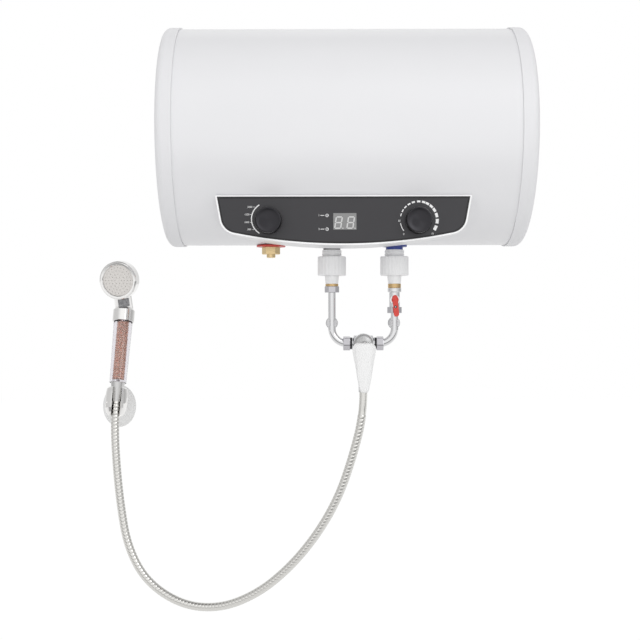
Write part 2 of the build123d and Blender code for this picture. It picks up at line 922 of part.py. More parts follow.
with BuildPart() as brass_nipples:
    for port, collar_bottom in ((hot_port, hot_brass_bottom), (cold_port, cold_brass_bottom)):
        revolve(
            section(
                port,
                (brass_bore, union_tail_bottom + brass_thread - seat_gap),
                (brass_radius, union_tail_bottom + brass_thread - seat_gap),
                (brass_radius, union_tail_bottom - fit),
                (brass_collar_radius, union_tail_bottom - fit),
                (brass_collar_radius, collar_bottom),
                (brass_radius, collar_bottom),
                (brass_radius, collar_bottom - brass_thread / 2),
                (brass_bore, collar_bottom - brass_thread / 2),
            ),
            axis=spin_axis(port),
        )

# Chrome nuts: under the hot union, under the valve, and one each side of the mixer
hot_nut_top = hot_brass_bottom - fit
hot_pipe_top = hot_brass_bottom - brass_thread / 2 - seat_gap
valve_nut_top = valve_body_bottom - fit
cold_pipe_top = valve_thread_bottom - seat_gap
run_reach = pipe_bend + seat_gap
left_thread_end = hot_x + run_reach
right_thread_end = cold_x - run_reach


def nut_on(plane, thickness, turn=0):
    """Six-sided nut with a chamfered rim, turned by an angle and extruded along a plane's normal."""
    with BuildPart() as nut:
        with BuildSketch(plane):
            RegularPolygon(nut_radius, 6, rotation=turn)
        extrude(amount=thickness)
        chamfer(nut.edges().group_by(Axis(plane.origin, plane.z_dir))[0], length=0.9)
        chamfer(nut.edges().group_by(Axis(plane.origin, plane.z_dir))[-1], length=0.9)
    return nut.part


left_nut_plane = lengthwise(left_thread_end + mixer_nut_reach - mixer_nut_thickness, 0, pipe_run_height)
right_nut_plane = lengthwise(right_thread_end - mixer_nut_reach, 0, pipe_run_height)

with BuildPart() as pipe_nuts:
    add(nut_on(hot_port.offset(hot_nut_top - nut_thickness), nut_thickness))
    add(nut_on(cold_port.offset(valve_nut_top - nut_thickness), nut_thickness))
    add(nut_on(left_nut_plane, mixer_nut_thickness, nut_turn))
    add(nut_on(right_nut_plane, mixer_nut_thickness, nut_turn))
    with BuildSketch(hot_port.offset(hot_nut_top)):
        Circle(brass_radius + fit)
    extrude(amount=hot_pipe_top - hot_nut_top, mode=Mode.SUBTRACT)
    with BuildSketch(hot_port.offset(hot_nut_top)):
        Circle(pipe_radius + fit)
    extrude(amount=-nut_thickness, mode=Mode.SUBTRACT)
    with BuildSketch(cold_port.offset(valve_nut_top)):
        Circle(valve_thread_radius + fit)
    extrude(amount=cold_pipe_top - valve_nut_top, mode=Mode.SUBTRACT)
    with BuildSketch(cold_port.offset(valve_nut_top)):
        Circle(pipe_radius + fit)
    extrude(amount=-nut_thickness, mode=Mode.SUBTRACT)
    for thread_end, side in ((left_thread_end, 1), (right_thread_end, -1)):
        with BuildSketch(lengthwise(thread_end, 0, pipe_run_height)):
            Circle(mixer_thread_radius + fit)
        extrude(amount=side * mixer_nut_reach, mode=Mode.SUBTRACT)
        with BuildSketch(lengthwise(thread_end, 0, pipe_run_height)):
            Circle(nut_bore)
        extrude(amount=-side * mixer_nut_thickness, mode=Mode.SUBTRACT)


def pipe_solid(x, top, side):
    """Bent pipe from a nut down to the mixer's level and in towards it."""
    with BuildPart() as pipe:
        with BuildLine() as run:
            drop = Line(at(x, 0, top), at(x, 0, pipe_run_height + pipe_bend))
            TangentArc(drop @ 1, at(x + side * pipe_bend, 0, pipe_run_height), tangent=drop % 1)
        with BuildSketch(upright(x, 0, top)):
            Circle(pipe_radius)
            Circle(pipe_bore, mode=Mode.SUBTRACT)
        sweep(path=run.line)
    return pipe


hot_pipe = pipe_solid(hot_x, hot_pipe_top, 1)
cold_pipe = pipe_solid(cold_x, cold_pipe_top, -1)

# Clips with a round foot behind each pipe
with BuildPart() as pipe_clips:
    for pipe_x in (hot_x, cold_x):
        with BuildSketch(upright(pipe_x, 0, clip_height - clip_width / 2)):
            Circle(pipe_radius + clip_wall + fit)
            with Locations((0, pipe_radius + clip_stand / 2 + clip_wall)):
                Rectangle(clip_wall * 3, clip_stand + clip_wall)
            Circle(pipe_radius + fit, mode=Mode.SUBTRACT)
            with Locations((0, -pipe_radius - clip_wall)):
                Rectangle(pipe_radius * 1.5, pipe_radius, mode=Mode.SUBTRACT)
        extrude(amount=clip_width)
        with BuildSketch(facing(pipe_x, clip_height, -(pipe_radius + clip_stand + clip_wall))):
            Circle(clip_disc_radius)
        extrude(amount=-clip_disc_thickness)

# Ball valve
valve_plane = facing(cold_x, valve_height)
valve_top = cold_brass_bottom - fit

with BuildPart() as valve_body:
    revolve(
        section(
            cold_port,
            (0, valve_top),
            (valve_collar_radius - 1, valve_top),
            (valve_collar_radius, valve_top - 1),
            (valve_collar_radius, valve_collar_bottom + 1),
            (valve_collar_radius - 1, valve_collar_bottom),
            (valve_body_radius, valve_collar_bottom),
            (valve_body_radius, valve_body_bottom),
            (valve_thread_radius, valve_body_bottom),
            (valve_thread_radius, valve_thread_bottom),
            (0, valve_thread_bottom),
        ),
        axis=spin_axis(cold_port),
    )
    with BuildSketch(valve_plane):
        Circle(boss_radius)
    extrude(amount=boss_front)
    with BuildSketch(cold_port.offset(valve_top)):
        Circle(brass_radius + fit)
    extrude(amount=-brass_thread / 2 - seat_gap, mode=Mode.SUBTRACT)
    with BuildSketch(cold_port.offset(valve_top)):
        Circle(valve_bore)
    extrude(amount=valve_thread_bottom - valve_top, mode=Mode.SUBTRACT)
    with Locations(valve_plane):
        Sphere(ball_radius + ball_clearance, mode=Mode.SUBTRACT)
    with BuildSketch(valve_plane):
        Circle(stem_radius + fit / 2)
    extrude(amount=boss_front, mode=Mode.SUBTRACT)

with BuildPart() as valve_ball:
    with Locations(valve_plane):
        Sphere(ball_radius)
    with BuildSketch(cold_port.offset(valve_height - 2 * ball_radius)):
        Circle(valve_bore)
    extrude(amount=4 * ball_radius, mode=Mode.SUBTRACT)
    with BuildSketch(valve_plane.offset(valve_bore + stem_depth)):
        Circle(stem_radius)
    extrude(amount=lever_front - lever_cap - seat_gap - valve_bore - stem_depth)

tilt = math.radians(lever_tilt)
lever_plane = Plane(
    origin=valve_plane.origin,
    x_dir=(math.cos(tilt), 0, math.sin(tilt)),
    z_dir=(0, -1, 0),
)
lever_length = lever_above + lever_below
lever_middle = (lever_above - lever_below) / 2

with BuildPart() as valve_lever:
    with BuildSketch(lever_plane.offset(lever_front)):
        with Locations((0, lever_middle)):
            SlotOverall(lever_length, lever_width, rotation=90)
    extrude(amount=-lever_thickness)
    chamfer(valve_lever.edges().group_by(Axis.Y)[0], length=0.7)
    with BuildSketch(lever_plane.offset(lever_front - lever_thickness)):
        Circle(lever_hub_radius)
    extrude(amount=-(lever_front - lever_thickness - boss_front - seat_gap))
    with BuildSketch(lever_plane.offset(lever_front - lever_cap)):
        Circle(stem_radius + fit / 2)
    extrude(amount=-(lever_front - lever_cap - boss_front), mode=Mode.SUBTRACT)
    with BuildSketch(lever_plane.offset(lever_front)):
        with Locations((0, -lever_below * 0.42)):
            Circle(lever_dimple)
    extrude(amount=-lever_thickness / 2, mode=Mode.SUBTRACT)

# Mixer
mixer_line = lengthwise(mixer_x, 0, pipe_run_height)
mixer_plane = facing(mixer_x, pipe_run_height)
mixer_port = upright(mixer_x)
mixer_half = mixer_x - left_thread_end
barrel_half = mixer_half - mixer_thread_length

with BuildPart() as mixer_body:
    revolve(
        section(
            mixer_line,
            (0, -mixer_half),
            (mixer_thread_radius, -mixer_half),
            (mixer_thread_radius, -barrel_half),
            (mixer_barrel_radius, -barrel_half + 2),
            (mixer_barrel_radius, barrel_half - 2),
            (mixer_thread_radius, barrel_half),
            (mixer_thread_radius, mixer_half),
            (0, mixer_half),
        ),
        axis=spin_axis(mixer_line),
    )
    with BuildSketch(mixer_plane.offset(mixer_front)):
        Circle(mixer_housing_radius)
    extrude(amount=-(mixer_front + mixer_back))
    fillet(mixer_body.edges().group_by(Axis.Y)[-1], radius=3.0)
    with BuildSketch(mixer_port.offset(pipe_run_height)):
        Circle(outlet_radius)
    extrude(amount=outlet_bottom - pipe_run_height)
    with BuildSketch(mixer_port.offset(outlet_bottom)):
        Circle(outlet_thread_radius)
    extrude(amount=-outlet_thread)
    with BuildSketch(mixer_plane.offset(mixer_front)):
        Circle(mixer_chamber_radius)
    extrude(amount=-cartridge_depth, mode=Mode.SUBTRACT)
    with BuildSketch(mixer_line.offset(-mixer_half)):
        Circle(mixer_bore)
    extrude(amount=2 * mixer_half, mode=Mode.SUBTRACT)
    with BuildSketch(mixer_port.offset(outlet_bottom - outlet_thread)):
        Circle(outlet_bore)
    extrude(amount=pipe_run_height - outlet_bottom + outlet_thread, mode=Mode.SUBTRACT)

with BuildPart() as mixer_cartridge:
    revolve(
        section(
            mixer_plane,
            (spindle_radius + fit / 2, mixer_front + seat_gap),
            (mixer_chamber_radius - fit, mixer_front + seat_gap),
            (mixer_chamber_radius - fit, mixer_front - cartridge_depth + 2.0),
            (mixer_chamber_radius * 0.6, mixer_front - cartridge_depth + seat_gap),
            (0, mixer_front - cartridge_depth + seat_gap),
            (0, mixer_front - cartridge_depth / 2),
            (spindle_radius + fit / 2, mixer_front - cartridge_depth / 2),
        ),
        axis=spin_axis(mixer_plane),
    )

with BuildPart() as mixer_bonnet:
    bonnet_base = mixer_front + seat_gap + fit
    revolve(
        section(
            mixer_plane,
            (spindle_radius + 1.0, bonnet_base),
            (bonnet_radius, bonnet_base),
            (bonnet_radius, bonnet_base + bonnet_seat),
            (bonnet_radius * 0.94, bonnet_base + 0.45 * (bonnet_front - bonnet_base) + bonnet_seat / 2),
            (bonnet_radius * 0.78, bonnet_front - 2.2),
            (bonnet_radius * 0.5, bonnet_front - 0.6),
            (spindle_radius + 1.0, bonnet_front),
        ),
        axis=spin_axis(mixer_plane),
    )

with BuildPart() as mixer_spindle:
    with BuildSketch(mixer_plane.offset(lift_pivot)):
        Circle(spindle_radius)
    extrude(amount=-(lift_pivot - mixer_front + cartridge_depth / 2 - seat_gap))
    with Locations(mixer_plane.offset(lift_pivot)):
        Sphere(spindle_ball)

# Handle drawn as a tapering blade, then thinned towards its tip at the back and bevelled in front
with BuildPart() as mixer_lever:
    with BuildSketch(mixer_plane.offset(handle_front)):
        with BuildLine():
            right = [(half, height) for height, half in handle_half_widths]
            left = [(-half, height) for half, height in reversed(right)]
            tip_height = -handle_drop + handle_tip_half
            blade_right = Spline(*right, (handle_tip_half, tip_height))
            tip_arc = ThreePointArc(
                (handle_tip_half, tip_height), (0, -handle_drop), (-handle_tip_half, tip_height)
            )
            blade_left = Spline((-handle_tip_half, tip_height), *left)
            Line(blade_left @ 1, blade_right @ 0)
        make_face()
    extrude(amount=-(handle_front - handle_back))
    with BuildSketch(lengthwise(mixer_x - 2 * handle_half_widths[2][1], 0, pipe_run_height)):
        with BuildLine():
            Polyline(
                (-handle_front - 1, handle_top + 3),
                (-handle_back, handle_top + 3),
                (-handle_back, -spindle_ball * 2),
                (-handle_front + handle_tip_thickness, -handle_drop),
                (-handle_front - 1, -handle_drop - 3),
                close=True,
            )
        make_face()
    extrude(amount=4 * handle_half_widths[2][1], mode=Mode.INTERSECT)
    chamfer(mixer_lever.edges().group_by(Axis.Y)[0], length=handle_bevel)
    with Locations(mixer_plane.offset(lift_pivot)):
        Sphere(spindle_ball + seat_gap, mode=Mode.SUBTRACT)
    with BuildSketch(mixer_plane.offset(handle_back - 1)):
        with Locations((0, handle_top)):
            Rectangle(2 * (spindle_ball + seat_gap), 4 * spindle_ball)
    extrude(amount=lift_pivot - handle_back + 1, mode=Mode.SUBTRACT)

# Hose nut under the mixer, with its sleeve
hose_nut_top = outlet_bottom - fit
with BuildPart() as hose_nut:
    with BuildSketch(mixer_port.offset(hose_nut_top)):
        RegularPolygon(hose_nut_radius, 6)
    extrude(amount=-hose_nut_length)
    chamfer(hose_nut.edges().group_by(Axis.Z)[0], length=0.9)
    revolve(
        section(
            mixer_port,
            (0, hose_nut_top - hose_nut_length),
            (sleeve_top_radius, hose_nut_top - hose_nut_length),
            (sleeve_end_radius, hose_start_height + 8),
            (sleeve_end_radius, hose_start_height),
            (0, hose_start_height),
        ),
        axis=spin_axis(mixer_port),
    )
    with BuildSketch(mixer_port.offset(hose_nut_top)):
        Circle(outlet_thread_radius + fit)
    extrude(amount=-outlet_thread - seat_gap, mode=Mode.SUBTRACT)
    with BuildSketch(mixer_port.offset(hose_nut_top)):
        Circle(hose_bore)
    extrude(amount=hose_start_height - hose_nut_top, mode=Mode.SUBTRACT)

# Hose route: straight runs joined by arcs as large as the runs allow
route = [Vector(*at(*point)) for point in hose_route]
bend_radii = []
for before, corner, after in zip(route, route[1:], route[2:]):
    turn = math.radians((corner - before).get_angle(after - corner))
    shorter = min((corner - before).length, (after - corner).length)
    bend_radii.append(arc_share * shorter / math.tan(turn / 2))
print("hose bend radii:", [round(radius) for radius in bend_radii])
with BuildLine() as hose_line:
    FilletPolyline(*route, radius=bend_radii)
hose_wire = hose_line.wires()[0]
hose_length = hose_wire.length
rib_count = int((hose_length - 2 * hose_plain_end) // rib_pitch)
rib_margin = (hose_length - rib_count * rib_pitch) / 2
hose_sweep_up = Vector(0, 1, 0)
least_rib_gap = rib_pitch * 0.3 * (1 - hose_radius / min(bend_radii))
print("hose length:", round(hose_length, 1), "ribs:", rib_count, "least rib gap:", round(least_rib_gap, 2))


def hose_circle(distance, radius):
    """Circle round the hose's line at a distance along it, on a steady X axis."""
    spot = hose_wire.position_at(distance / hose_length)
    heading = hose_wire.tangent_at(distance / hose_length)
    steady = hose_sweep_up - heading * hose_sweep_up.dot(heading)
    with BuildSketch(Plane(origin=spot, x_dir=steady, z_dir=heading)) as ring:
        Circle(radius)
    return ring.sketch.face()


hose_outside = [hose_circle(0, hose_valley_radius)]
for rib in range(rib_count):
    rib_start = rib_margin + rib * rib_pitch
    hose_outside.append(hose_circle(rib_start, hose_valley_radius))
    hose_outside.append(hose_circle(rib_start + 0.2 * rib_pitch, hose_radius))
    hose_outside.append(hose_circle(rib_start + 0.7 * rib_pitch, hose_radius))
    hose_outside.append(hose_circle(rib_start + 0.9 * rib_pitch, hose_valley_radius))
hose_outside.append(hose_circle(hose_length, hose_valley_radius))
hose_inside = [
    hose_circle(hose_length * step / (2 * rib_count), hose_bore) for step in range(2 * rib_count + 1)
]

with BuildPart() as shower_hose:
    loft(hose_outside, ruled=True)
    loft(hose_inside, ruled=True, mode=Mode.SUBTRACT)

# Hand shower, on its own leaning plane
grip_up = Vector(grip_lean_right, grip_lean_back, 1).normalized()
yaw = math.radians(face_yaw)
look = Vector(-math.sin(yaw), -math.cos(yaw), 0)
forward = (look - grip_up * look.dot(grip_up)).normalized()
grip = Plane(origin=at(*grip_foot), x_dir=grip_up.cross(forward), z_dir=grip_up)
tip_angle = math.radians(face_tilt)
face_normal = forward * math.cos(tip_angle) - grip_up * math.sin(tip_angle)
face_middle = Vector(*at(*grip_foot)) + grip_up * face_height + forward * face_forward
head_plane = Plane(origin=face_middle, x_dir=grip.x_dir, z_dir=face_normal)
spigot_length = cone_socket_depth - seat_gap
tube_length = collar_start + collar_depth - seat_gap

with BuildPart() as handle_tube:
    revolve(
        section(
            grip,
            (tube_spigot_bore, -spigot_length),
            (tube_spigot_radius, -spigot_length),
            (tube_spigot_radius, 0),
            (tube_foot_radius, 0),
            (tube_top_radius, tube_length),
            (tube_bore, tube_length),
            (tube_bore, tube_floor),
            (tube_spigot_bore, tube_floor),
        ),
        axis=spin_axis(grip),
    )

with BuildPart() as filter_beads:
    with BuildSketch(grip.offset(tube_floor + fit)):
        Circle(beads_radius)
    extrude(amount=collar_start - tube_floor)

neck_target = face_middle - face_normal * neck_aim
neck_foot_point = Vector(*at(*grip_foot)) + grip_up * neck_start
neck_heading = (neck_target - neck_foot_point).normalized()

with BuildPart() as shower_head:
    revolve(
        section(
            head_plane,
            (0, 0),
            (head_radius - 1, 0),
            (head_radius, -1),
            (head_radius, -head_rim),
            (head_radius * 0.95, -head_rim - 5),
            (head_radius * 0.8, -head_back + 6),
            (head_radius * 0.5, -head_back + 1.6),
            (0, -head_back),
        ),
        axis=spin_axis(head_plane),
    )
    with BuildSketch(grip.offset(neck_start)):
        Circle(neck_radius)
    with BuildSketch(Plane(origin=neck_target, x_dir=grip.x_dir, z_dir=neck_heading)):
        Circle(neck_top_radius)
    loft()
    revolve(
        section(
            grip,
            (0, collar_start),
            (collar_radius, collar_start),
            (collar_radius, collar_end),
            (neck_radius, neck_start),
            (0, neck_start),
        ),
        axis=spin_axis(grip),
    )
    with BuildSketch(grip.offset(collar_start)):
        Circle(tube_top_radius + fit)
    extrude(amount=collar_depth, mode=Mode.SUBTRACT)
    with BuildSketch(head_plane):
        Circle(head_cavity_radius)
    extrude(amount=-head_cavity_depth, mode=Mode.SUBTRACT)
    with BuildSketch(head_plane):
        Circle(head_radius - 1)
    extrude(amount=-face_ring_depth, mode=Mode.SUBTRACT)
    with BuildSketch(grip.offset(collar_start)):
        Circle(water_way)
    extrude(amount=neck_start - collar_start, mode=Mode.SUBTRACT)
    with BuildSketch(Plane(origin=neck_foot_point, x_dir=grip.x_dir, z_dir=neck_heading)):
        Circle(water_way)
    extrude(amount=(neck_target - neck_foot_point).length, mode=Mode.SUBTRACT)

ring_inner_radius = head_radius - 1 - face_ring_width
with BuildPart() as face_ring:
    revolve(
        section(
            head_plane,
            (ring_inner_radius, -face_ring_depth + fit),
            (head_radius - 1 - fit, -face_ring_depth + fit),
            (head_radius - 1 - fit, 0.2),
            (head_radius - 2.5, 1.2),
            (ring_inner_radius + 1.0, 1.0),
            (ring_inner_radius, 0.0),
        ),
        axis=spin_axis(head_plane),
    )

with BuildPart() as spray_plate:
    with BuildSketch(head_plane.offset(-plate_inset)):
        Circle(ring_inner_radius - fit)
        for row_radius, row_count in spray_rows:
            with PolarLocations(row_radius, row_count):
                Circle(spray_hole_radius, mode=Mode.SUBTRACT)
    extrude(amount=-plate_thickness)

with BuildPart() as hose_cone:
    revolve(
        section(
            grip,
            (tube_spigot_radius + fit, -seat_gap / 2),
            (cone_top_radius, -seat_gap / 2),
            (cone_end_radius, -cone_length),
            (hose_bore, -cone_length),
            (hose_bore, -cone_socket_depth),
            (tube_spigot_radius + fit, -cone_socket_depth),
        ),
        axis=spin_axis(grip),
    )

# Wall holder: a domed base and the slotted fork that the hose cone drops into
with BuildPart() as holder_dome:
    for depth, share in ((0.0, 1.0), (0.35, 0.95), (0.7, 0.76), (1.0, 0.42)):
        with BuildSketch(facing(holder_x, holder_z, -(wall_y - depth * dome_depth))):
            Ellipse(share * dome_width / 2, share * dome_height / 2)
    loft()

fork_aim = math.radians(fork_turn)
fork_look = Vector(math.sin(fork_aim), -math.cos(fork_aim), 0)
fork_forward = (fork_look - grip_up * fork_look.dot(grip_up)).normalized()
fork_plane = Plane(origin=at(*grip_foot), x_dir=grip_up.cross(fork_forward), z_dir=grip_up)
fork_spot = Vector(*at(*grip_foot)) + grip_up * fork_pin_height
fork_depth = fork_spot.Y - axis_y
fork_neck = facing(fork_spot.X, fork_spot.Z - axis_z, -(fork_depth + fork_channel + 2))
neck_reach = wall_y - dome_depth + holder_neck_sink - (fork_depth + fork_channel + 2)


def cone_radius(height):
    """Radius of the hose cone at a height on the grip's axis."""
    return cone_top_radius + (cone_end_radius - cone_top_radius) * -height / cone_length


with BuildPart() as holder_fork:
    revolve(
        section(
            grip,
            (0, fork_top),
            (fork_arm_radius * 0.8, fork_top),
            (fork_arm_radius * 0.93, fork_top - 2.5),
            (fork_arm_radius * 0.99, fork_top - 9),
            (fork_arm_radius, fork_top - 17),
            (fork_arm_radius, fork_top - 28),
            (fork_arm_radius * 0.95, fork_top - 36),
            (fork_arm_radius * 0.83, fork_top - 43),
            (fork_arm_radius * 0.66, fork_foot),
            (0, fork_foot),
        ),
        axis=spin_axis(grip),
    )
    with BuildSketch(fork_neck):
        Circle(holder_neck_radius)
    extrude(amount=-neck_reach)
    revolve(
        section(
            grip,
            (0, fork_top + 1),
            (cone_radius(fork_top + 1) + fork_cone_gap, fork_top + 1),
            (cone_radius(-cone_length) + fork_cone_gap, -cone_length),
            (fork_channel, -cone_length),
            (fork_channel, fork_foot - 1),
            (0, fork_foot - 1),
        ),
        axis=spin_axis(grip),
        mode=Mode.SUBTRACT,
    )
    with BuildSketch(fork_plane.offset(fork_foot - 1)):
        with Locations((0, -fork_arm_radius)):
            Rectangle(fork_slot, 2 * fork_arm_radius)
    extrude(amount=fork_top - fork_foot + 2, mode=Mode.SUBTRACT)
    with BuildSketch(Plane(origin=fork_spot, x_dir=fork_plane.x_dir, z_dir=fork_forward)):
        with Locations((-fork_pin_spread, 0), (fork_pin_spread, 0)):
            Circle(fork_pin_hole)
    extrude(amount=fork_arm_radius, mode=Mode.SUBTRACT)

with BuildPart() as holder_base:
    add(holder_dome.part)
    with BuildSketch(fork_neck.offset(-neck_reach - seat_gap)):
        Circle(holder_neck_radius + fit)
    extrude(amount=holder_neck_sink + dome_depth, mode=Mode.SUBTRACT)

pieces = {
    "shell": shell,
    "left_cap": left_cap,
    "right_cap": right_cap,
    "foam_jacket": foam_jacket,
    "inner_tank": inner_tank,
    "hanger_brackets": hanger_brackets,
    "wall_spacers": wall_spacers,
    "flange_gasket": flange_gasket,
    "heater_flange": heater_flange,
    "flange_bolts": flange_bolts,
    "heating_element": heating_element,
    "anode_rod": anode_rod,
    "thermostat_bulb": thermostat_bulb,
    "thermal_cutout": thermal_cutout,
    "wiring_loom": wiring_loom,
    "cable_gland": cable_gland,
    "outlet_tube": outlet_tube,
    "inlet_tube": inlet_tube,
    "panel_housing": panel_housing,
    "fascia": fascia,
    "display_window": display_window,
    "display_board": display_board,
    "indicator_lenses": indicator_lenses,
    "power_switch": power_switch,
    "power_shaft": power_shaft,
    "power_knob": power_knob,
    "thermostat_body": thermostat_body,
    "thermostat_shaft": thermostat_shaft,
    "temperature_knob": temperature_knob,
    "drain_ring": drain_ring,
    "drain_plug": drain_plug,
    "hot_ring": hot_ring,
    "cold_ring": cold_ring,
    "union_necks": union_necks,
    "union_nuts": union_nuts,
    "union_tails": union_tails,
    "brass_nipples": brass_nipples,
    "pipe_nuts": pipe_nuts,
    "hot_pipe": hot_pipe,
    "cold_pipe": cold_pipe,
    "pipe_clips": pipe_clips,
    "valve_body": valve_body,
    "valve_ball": valve_ball,
    "valve_lever": valve_lever,
    "mixer_body": mixer_body,
    "mixer_cartridge": mixer_cartridge,
    "mixer_bonnet": mixer_bonnet,
    "mixer_spindle": mixer_spindle,
    "mixer_lever": mixer_lever,
    "hose_nut": hose_nut,
    "shower_hose": shower_hose,
    "hose_cone": hose_cone,
    "shower_head": shower_head,
    "face_ring": face_ring,
    "spray_plate": spray_plate,
    "handle_tube": handle_tube,
    "filter_beads": filter_beads,
    "holder_base": holder_base,
    "holder_fork": holder_fork,
}

os.makedirs("parts", exist_ok=True)
for name, piece in pieces.items():
    piece.part.label = name
    export_step(piece.part, f"parts/{name}.step")
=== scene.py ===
"""A wall-hung storage water heater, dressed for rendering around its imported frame.

The frame gives every rigid part at its real size and place. This script adds the ribbed hose,
the panel's print, the display, the turned knobs, the filter beads and the other fine pieces,
gives every surface its finish, and sets up the studio and the camera.
"""

import logging
import math
import random
from dataclasses import dataclass
from enum import Enum
from functools import cache
from typing import Iterable, Sequence

import bpy
from mathutils import Euler, Matrix, Vector

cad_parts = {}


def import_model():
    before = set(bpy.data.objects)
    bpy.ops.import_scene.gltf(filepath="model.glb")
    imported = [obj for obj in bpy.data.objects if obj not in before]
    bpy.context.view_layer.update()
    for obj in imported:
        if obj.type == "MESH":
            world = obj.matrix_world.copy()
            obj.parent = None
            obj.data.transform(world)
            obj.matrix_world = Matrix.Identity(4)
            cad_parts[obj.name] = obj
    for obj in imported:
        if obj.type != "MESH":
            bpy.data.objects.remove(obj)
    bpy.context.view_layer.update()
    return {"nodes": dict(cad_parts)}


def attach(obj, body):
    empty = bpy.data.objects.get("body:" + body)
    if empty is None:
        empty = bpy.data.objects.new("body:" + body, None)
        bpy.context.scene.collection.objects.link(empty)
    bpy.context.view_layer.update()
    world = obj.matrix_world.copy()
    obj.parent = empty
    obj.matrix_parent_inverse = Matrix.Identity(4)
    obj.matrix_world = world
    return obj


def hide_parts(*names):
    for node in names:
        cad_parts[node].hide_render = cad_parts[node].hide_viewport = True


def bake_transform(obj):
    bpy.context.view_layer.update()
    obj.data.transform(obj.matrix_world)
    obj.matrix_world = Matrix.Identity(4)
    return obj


LOG = logging.getLogger("water_heater")

MM = 0.001
MERGE_GAP = 0.001
DEGREES_A_STEP = 4
FLUTE_SHARPNESS = 5
TANK_AXIS = Vector((0.0, -185.0, -90.0))
WHITE = (1.0, 1.0, 1.0)

Outline = Sequence[tuple[float, float]]
Points = list[tuple[float, float]]
Pairs = tuple[tuple[float, float], ...]
Place = tuple[float, float, float]
Colour = tuple[float, float, float]
Piece = bpy.types.Object
Socket = bpy.types.NodeSocket
Nodes = dict[str, bpy.types.Object]


def spot(x: float, y: float, z: float) -> Vector:
    """Point in metres in the shared frame, from millimetres given from the tank's axis."""
    return (Vector((x, y, z)) + TANK_AXIS) * MM


@dataclass(frozen=True)
class Seat:
    """Where a piece is made: its own origin and axes, in which it is modelled in millimetres.

    Attributes:
        origin: The seat's origin in metres.
        axis: Unit vector that the piece is turned about, its local z.
        across: Unit vector of its local x.
    """

    origin: Vector
    axis: Vector
    across: Vector

    def matrix(self) -> Matrix:
        """Matrix from local millimetres to metres in the shared frame.

        Returns:
            The seat's axes and origin, with the change of scale.
        """
        side = self.axis.cross(self.across)
        turned = Matrix((self.across, side, self.axis)).transposed().to_4x4()
        return Matrix.Translation(self.origin) @ turned @ Matrix.Scale(MM, 4)

    def raised(self, height: float) -> "Seat":
        """The same seat further along its axis, by millimetres."""
        return Seat(self.origin + self.axis * height * MM, self.axis, self.across)


def facing(x: float, z: float, depth: float) -> Seat:
    """Seat that faces the viewer, its x to the right and its y up."""
    return Seat(spot(x, -depth, z), Vector((0, -1, 0)), Vector((1, 0, 0)))


def upright(x: float, y: float, z: float) -> Seat:
    """Seat with its axis up."""
    return Seat(spot(x, y, z), Vector((0, 0, 1)), Vector((1, 0, 0)))


class Body(Enum):
    """The rigid bodies that pieces ride on."""

    HEATER = "heater"
    POWER = "power_dial"
    TEMPERATURE = "temperature_dial"
    VALVE = "valve_handle"
    HANDLE = "mixer_handle"
    SHOWER = "hand_shower"


# Shader groups


class Wiring:
    """A node tree while it is being wired."""

    def __init__(self, tree: bpy.types.NodeTree) -> None:
        """Starts on a tree and empties it."""
        self.tree = tree
        self.tree.nodes.clear()

    def node(self, kind: str, **settings: object) -> bpy.types.Node:
        """Adds a node.

        Args:
            kind: The node's type, such as ShaderNodeMath.
            **settings: Attributes of the node.

        Returns:
            The new node.
        """
        made = self.tree.nodes.new(kind)
        for name, value in settings.items():
            setattr(made, name, value)
        return made

    def join(self, source: Socket, target: Socket) -> None:
        """Links one socket to another."""
        self.tree.links.new(source, target)

    def feed(self, target: Socket, value: Socket | float) -> None:
        """Sets a socket to a number, or links another socket to it.

        Args:
            target: The socket that is set.
            value: The number, or the socket that feeds it.
        """
        if isinstance(value, Socket):
            self.join(value, target)
        else:
            target.default_value = value

    def noise(self, vector: Socket, scale: Socket | float, detail: float) -> Socket:
        """Adds a noise texture.

        Args:
            vector: Where it is read.
            scale: Its scale, in cycles a metre.
            detail: Its finer octaves.

        Returns:
            Its value socket.
        """
        made = self.node("ShaderNodeTexNoise")
        made.inputs["Detail"].default_value = detail
        self.feed(made.inputs["Scale"], scale)
        self.join(vector, made.inputs["Vector"])
        return made.outputs["Fac"]

    def math(self, operation: str, first: Socket | float, second: Socket | float = 0.0) -> Socket:
        """Adds a math node.

        Args:
            operation: What it does, such as ADD.
            first: Its first socket or number.
            second: Its second one.

        Returns:
            Its value socket.
        """
        made = self.node("ShaderNodeMath", operation=operation)
        self.feed(made.inputs[0], first)
        self.feed(made.inputs[1], second)
        return made.outputs["Value"]

    def bump(self, height: Socket, distance: float, under: Socket | None = None) -> Socket:
        """Adds a bump.

        Args:
            height: The pattern of its height, 0 to 1.
            distance: Its full height in metres.
            under: Normal of the bump that it lies on, where there is one.

        Returns:
            Its normal socket.
        """
        made = self.node("ShaderNodeBump")
        made.inputs["Distance"].default_value = distance
        self.join(height, made.inputs["Height"])
        if under:
            self.join(under, made.inputs["Normal"])
        return made.outputs["Normal"]

    def mix(self, share: Socket, first: Socket, second: Socket) -> Socket:
        """Adds a mix of two colours, or of two shaders.

        Args:
            share: How much of the second shows, 0 to 1.
            first: The first colour or shader.
            second: The second one.

        Returns:
            The mixed socket.
        """
        if first.type == "SHADER":
            made = self.node("ShaderNodeMixShader")
            places, result = (0, 1, 2), 0
        else:
            made = self.node("ShaderNodeMix", data_type="RGBA")
            places, result = ("Factor", "A", "B"), "Result"
        for place, source in zip(places, (share, first, second)):
            self.join(source, made.inputs[place])
        return made.outputs[result]


